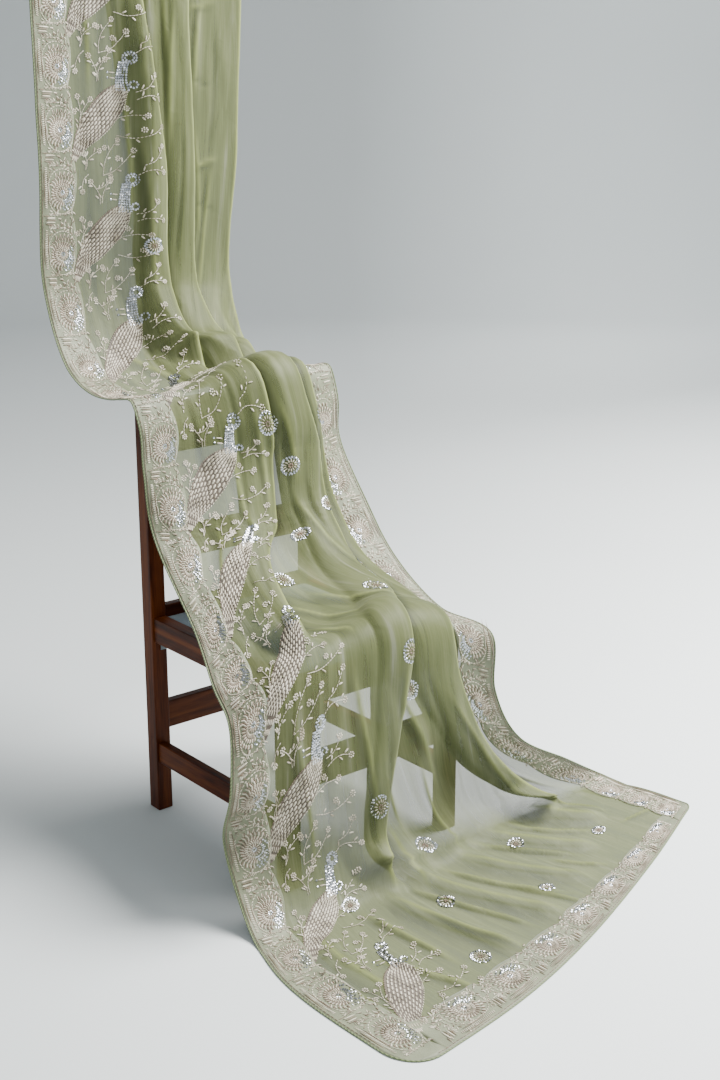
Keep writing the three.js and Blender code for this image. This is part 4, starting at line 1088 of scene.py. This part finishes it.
def spray(start, end, bow, leaves):
    start, end = np.array(start, float), np.array(end, float)
    aside = np.array([start[1] - end[1], end[0] - start[0]]) / np.linalg.norm(end - start)
    points = [start, start * 0.65 + end * 0.35 + aside * bow,
              start * 0.3 + end * 0.7 + aside * bow * 0.8, end]
    here, turns = along_curve(points, 6.4)
    motif = [("cream", x, y, turn, 7.6, 1.8) for (x, y), turn in zip(here, turns)]
    for i in range(leaves):
        share = (i + 0.7) / (leaves + 0.5)
        k = min(int(share * len(here)), len(here) - 1)
        lean = turns[k] + (0.8 if i % 2 else -0.8)
        x, y = here[k][0] + 9 * math.cos(lean), here[k][1] + 9 * math.sin(lean)
        motif.append(("cream", x, y, lean, 12.0, 4.0))
    motif += flower(*(end + (end - here[-1]) * 0.4))
    if leaves > 3:
        k = len(here) // 2
        lean = turns[k] - 1.1
        motif += flower(here[k][0] + 17 * math.cos(lean), here[k][1] + 17 * math.sin(lean))
    return motif


peacock_stitches = peacock()
bird_alongs = np.arange(FIRST_PEACOCK, CLOTH_END - BORDER_WIDTH - TAIL_ROOM, PEACOCK_PITCH)
for bird, along in enumerate(bird_alongs):
    stamp("field", peacock_stitches, PEACOCK_WIDTH, along, scale=PEACOCK_SCALE)
    for start, end, bow, leaves in SPRAYS:
        sway = SWAY * math.sin(bird * 2.1 + start[0])
        stem = spray(start, (end[0] + sway, end[1] - sway), bow, leaves)
        stamp("field", stem, PEACOCK_WIDTH + SPRAY_INSET, along)


# Round rosettes stand in rows over the open field: how far along, then the place of the row's first one.
# On the floor the rows run aslant. The upper cloth has only one.
ROSETTE_STEP = 190
ROSETTE_FIRST = 240
ROSETTE_ROWS = [(610, 262), (1257, 290), (1369, 335), (1480, 430), (1560, 335), (1656, 430),
                (1728, 335), (1896, 430), (2159, 335), (2399, 240), (2639, 335)]
UPPER_END = 900
UPPER_WIDTH = 400
ASLANT = 0.65
ASLANT_FROM = (1500, 700)
ROSETTE_ROOM = 24
ROSETTE_RINGS = (("silver", 19, 22, 5.2, 5.0, 0), ("silver", 16, 14, 4.4, 4.4, 0.5),
                 ("cream", 10.5, 13, 7.6, 3.0, 0), ("gold", 4, 7, 5.0, 3.6, 0))

rosette_stitches = []
for thread, radius, count, long, broad, start in ROSETTE_RINGS:
    rosette_stitches += ring(thread, 0, 0, radius, count, long, broad, start)
for base, first in ROSETTE_ROWS:
    slant = ASLANT * float(ease((base - ASLANT_FROM[0]) / ASLANT_FROM[1]))
    for width in np.arange(first, CLOTH_WIDTH - BORDER_WIDTH - ROSETTE_ROOM, ROSETTE_STEP):
        along = base + slant * (width - ROSETTE_FIRST)
        on_border = along > CLOTH_END - BORDER_WIDTH - ROSETTE_ROOM
        if on_border or along < UPPER_END and width > UPPER_WIDTH:
            continue
        stamp("field", rosette_stitches, width, along)


# Every stitch is a small spindle of thread, and every sequin a flat disc that leans a little, drawn from
# seeded dice. All stitches of one thread in one part of the cloth make one piece. A stitch that would lie
# past the cloth's edge or its rounded corners is left out.
THREAD_LEAN = 0.04
SEQUIN_LEAN = 0.3
TOP_ROOM = 3
EDGE_ROOM = 2
CORNER_ROOM = 6
SEQUIN_TONES = [(0.3, (0.32, 0.34, 0.38)), (0.7, (0.68, 0.69, 0.73))]


def spindle(sides, rings, flat):
    bead = bmesh.new()
    bmesh.ops.create_uvsphere(bead, u_segments=sides, v_segments=rings, radius=0.5)
    bmesh.ops.triangulate(bead, faces=bead.faces[:])
    bead.verts.ensure_lookup_table()
    points = np.array([vertex.co for vertex in bead.verts])
    faces = np.array([[vertex.index for vertex in face.verts] for face in bead.faces])
    bead.free()
    return (points if flat else points[:, [2, 0, 1]]), faces


def sew(name, marks, bead, high, lift, lean, material):
    marks = np.array(marks)
    keep = (marks[:, 1] > CLOTH_TOP + TOP_ROOM) & (marks[:, 1] < CLOTH_END - EDGE_ROOM)
    keep &= (marks[:, 0] > EDGE_ROOM) & (marks[:, 0] < CLOTH_WIDTH - EDGE_ROOM)
    corner = np.stack(round_corner(marks[:, 0], marks[:, 1]), axis=1)
    keep &= np.abs(corner - marks[:, :2]).max(axis=1) < CORNER_ROOM
    marks = marks[keep]
    points, faces = bead
    lifts = np.full(len(marks), lift)
    centre, out = cloth_point(marks[:, 0], marks[:, 1], lifts)
    run_width, run_along = np.cos(marks[:, 2]), np.sin(marks[:, 2])
    ahead, _ = cloth_point(marks[:, 0] + run_width, marks[:, 1] + run_along, lifts)
    behind, _ = cloth_point(marks[:, 0] - run_width, marks[:, 1] - run_along, lifts)
    run = ahead - behind
    run /= np.linalg.norm(run, axis=1)[:, None]
    out = out + lean * dice.uniform(-1, 1, out.shape)
    out /= np.linalg.norm(out, axis=1)[:, None]
    side = np.cross(out, run)
    side /= np.linalg.norm(side, axis=1)[:, None]
    run = np.cross(side, out)
    size = np.stack([marks[:, 3], marks[:, 4], np.full(len(marks), high)], axis=1) * MM
    made = centre[:, None, :]
    for axis, direction in enumerate((run, side, out)):
        made = made + points[None, :, axis, None] * size[:, None, axis, None] * direction[:, None, :]
    every_face = faces[None] + np.arange(len(marks))[:, None, None] * len(points)
    mesh = bpy.data.meshes.new(name)
    mesh.from_pydata(made.reshape(-1, 3).tolist(), [], every_face.reshape(-1, 3).tolist())
    mesh.polygons.foreach_set("use_smooth", [lean < SEQUIN_LEAN] * len(mesh.polygons))
    return make_piece(name, mesh, material)


def thread_finish(name, colour, deep, roughness):
    material, shader = new_finish(name, Roughness=roughness, Sheen_Weight=0.3)
    place = object_place(material)
    strands = noise(material, place, scale=900.0, detail=1.0)
    both = weighed(material, strands, 0.5, noise(material, place, scale=45.0, detail=1.0))
    tone = shades(material, both, [(0.55, deep), (0.9, colour)])
    feed(material, shader, Base_Color=tone, Normal=bump(material, strands, strength=0.5, distance=0.0004))
    return material


silver_sequin, silver_shader = new_finish("silver_sequin", Metallic=1.0, Roughness=0.2)
tarnish = noise(silver_sequin, object_place(silver_sequin), scale=120.0, detail=2.0)
silver_rough = texture(silver_sequin, "MapRange", {"Value": tarnish, "To Min": 0.14, "To Max": 0.36})
feed(silver_sequin, silver_shader, Base_Color=shades(silver_sequin, tarnish, SEQUIN_TONES),
     Roughness=silver_rough.outputs[0])
cream_thread = thread_finish("cream_thread", (0.70, 0.635, 0.505), (0.31, 0.262, 0.175), 0.45)
brown_thread = thread_finish("brown_thread", (0.22, 0.145, 0.088), (0.10, 0.058, 0.032), 0.5)

stitch_bead = spindle(4, 3, False)
THREADS = {
    "cream": (cream_thread, stitch_bead, THREAD_HIGH, THREAD_LEAN),
    "gold": (brown_thread, stitch_bead, THREAD_HIGH, THREAD_LEAN),
    "silver": (silver_sequin, spindle(7, 2, True), SEQUIN_HIGH, SEQUIN_LEAN),
}
for (group, thread), marks in sorted(stitches.items()):
    material, bead, high, lean = THREADS[thread]
    sew(f"{group}_{thread}", marks, bead, high, STITCH_LIFT[group], lean, material)


# Under each peacock's stitches lies a patch of dark thread, worked first, that shows between them. It
# follows the bird's own outline and lies on the organza.
GROUND_LIFT = 1.5
GROUND_COLUMNS, GROUND_ROWS = 10, 30


def peacock_ground():
    shape = bmesh.new()
    for along in bird_alongs:
        grid = bmesh.ops.create_grid(shape, x_segments=GROUND_COLUMNS, y_segments=GROUND_ROWS, size=0.5)
        spots = []
        for vertex in grid["verts"]:
            x, y, _ = body_place(vertex.co.y + 0.5, vertex.co.x * 2)
            spots.append((PEACOCK_WIDTH + x * PEACOCK_SCALE, along + y * PEACOCK_SCALE))
        widths, alongs = zip(*spots)
        points, _ = cloth_point(widths, alongs, np.full(len(spots), GROUND_LIFT))
        for vertex, point in zip(grid["verts"], points.tolist()):
            vertex.co = point
    for face in shape.faces:
        face.smooth = True
    return shape


dark_thread = thread_finish("dark_thread", (0.125, 0.098, 0.072), (0.06, 0.045, 0.032), 0.7)
ground = make_piece("peacock_ground", peacock_ground(), dark_thread)


# The studio's backdrop is a sheet of pale paper, a floor that curves up into a wall all round, well clear
# of the chair. Its colour holds painted light and shade: it is painted darker at the left and toward the
# back, with faint random mottling.
FLOOR_RADIUS = 8.0
FLOOR_SIDES = 96
SWEEP_RADIUS = 3.0
WALL_HEIGHT = 3.5
SWEEP_STEPS = 12
TOWARD_LIGHT = (0.7705, -0.6374, 0)
TOWARD_BACK = (0.6374, 0.7705, 0)
PAPER_PAINTED_LIGHT_TONES = [(0.05, (0.49, 0.52, 0.525)), (0.55, (0.74, 0.78, 0.785)), (1.0, (0.87, 0.92, 0.93))]

studio, studio_shader = new_finish("studio_paper", Roughness=0.9)
studio_place = object_place(studio)


# How far the painted light rises or falls along a direction across the paper.
def graded(direction, start, end, most):
    reach = texture(studio, "VectorMath", {0: studio_place, 1: direction}, operation="DOT_PRODUCT")
    inputs = {"Value": reach.outputs["Value"], "From Min": start, "From Max": end, "To Max": most}
    return texture(studio, "MapRange", inputs, interpolation_type="SMOOTHSTEP").outputs[0]


# Painted light, paler toward the right, and painted shade toward the back, with a little random mottling.
painted_light_share = texture(studio, "Math", {0: graded(TOWARD_LIGHT, -1.9, 2.4, 1.0),
                                    1: graded(TOWARD_BACK, -0.6, 2.2, -0.38)}, operation="ADD").outputs[0]
painted_light_share = weighed(studio, noise(studio, studio_place, scale=0.7, detail=2.0), 0.1, painted_light_share)
feed(studio, studio_shader, Base_Color=shades(studio, painted_light_share, PAPER_PAINTED_LIGHT_TONES))
sweep = bmesh.new()
bmesh.ops.create_circle(sweep, cap_ends=True, segments=FLOOR_SIDES, radius=FLOOR_RADIUS)
rim = sweep.edges[:]
radius, height = FLOOR_RADIUS, 0.0
profile = [(FLOOR_RADIUS + SWEEP_RADIUS * math.sin(turn), SWEEP_RADIUS * (1 - math.cos(turn)))
           for turn in np.linspace(0, math.pi / 2, SWEEP_STEPS + 1)[1:]]
profile.append((FLOOR_RADIUS + SWEEP_RADIUS, SWEEP_RADIUS + WALL_HEIGHT))
for next_radius, next_height in profile:
    grown = bmesh.ops.extrude_edge_only(sweep, edges=rim)["geom"]
    corners = [part for part in grown if isinstance(part, bmesh.types.BMVert)]
    bmesh.ops.scale(sweep, vec=(next_radius / radius, next_radius / radius, 1), verts=corners)
    bmesh.ops.translate(sweep, vec=(0, 0, next_height - height), verts=corners)
    rim = [part for part in grown if isinstance(part, bmesh.types.BMEdge)
           and all(vertex in corners for vertex in part.verts)]
    radius, height = next_radius, next_height
for face in sweep.faces:
    face.smooth = len(face.verts) == 4
bmesh.ops.recalc_face_normals(sweep, faces=sweep.faces[:])
floor_mesh = bpy.data.meshes.new("studio_sweep")
sweep.to_mesh(floor_mesh)
sweep.free()
floor_mesh.materials.append(studio)
floor = placed("studio_sweep", floor_mesh)


# Soft light comes from a large panel at the right, a weak one in front, a third that lights the wall
# behind, and an even pale sky.
PANELS = [
    ("right_panel", (2.4, -1.0, 4.2), (0.45, -0.6, 0.3), 2.8, 1000, (1.0, 0.99, 0.97)),
    ("front_panel", (-2.6, -3.4, 3.2), (0, 0, 0.8), 2.6, 20, (0.97, 0.99, 1.0)),
    ("wall_panel", (5.2, 3.4, 3.2), (5.5, 9.0, 2.2), 3.0, 150, (1.0, 1.0, 0.99)),
]
SKY_COLOUR = (0.87, 0.92, 0.94, 1)
SKY_STRENGTH = 0.54

for name, place, aim, size, power, colour in PANELS:
    light = bpy.data.lights.new(name, "AREA")
    light.shape = "SQUARE"
    light.size = size
    light.energy = power
    light.color = colour
    lamp = placed(name, light)
    lamp.location = place
    lamp.rotation_euler = (Vector(aim) - Vector(place)).to_track_quat("-Z", "Y").to_euler()
sky = bpy.data.worlds.new("studio_air")
sky.use_nodes = True
sky.node_tree.nodes["Background"].inputs["Color"].default_value = SKY_COLOUR
sky.node_tree.nodes["Background"].inputs["Strength"].default_value = SKY_STRENGTH
bpy.context.scene.world = sky


# The camera stands in front of the chair and to its left, higher than the chair's back, and looks down.
# Its place is in millimetres from the foot of the chair's front left corner.
IMAGE_HEIGHT = 1080
LENS_PIXELS = 1542
CAMERA_PLACE = (-1689, -2260, 1570)
CAMERA_PITCH = math.radians(16.3)
CAMERA_TURN = math.radians(-39.6)
SENSOR = 36.0

eye = bpy.data.cameras.new("photo_camera")
eye.sensor_fit = "VERTICAL"
eye.sensor_height = SENSOR
eye.lens = LENS_PIXELS / IMAGE_HEIGHT * SENSOR
camera = placed("photo_camera", eye)
camera.location = np.array(CAMERA_PLACE) * MM + chair_corner
camera.rotation_euler = (math.pi / 2 - CAMERA_PITCH, 0, CAMERA_TURN)
bpy.context.scene.camera = camera
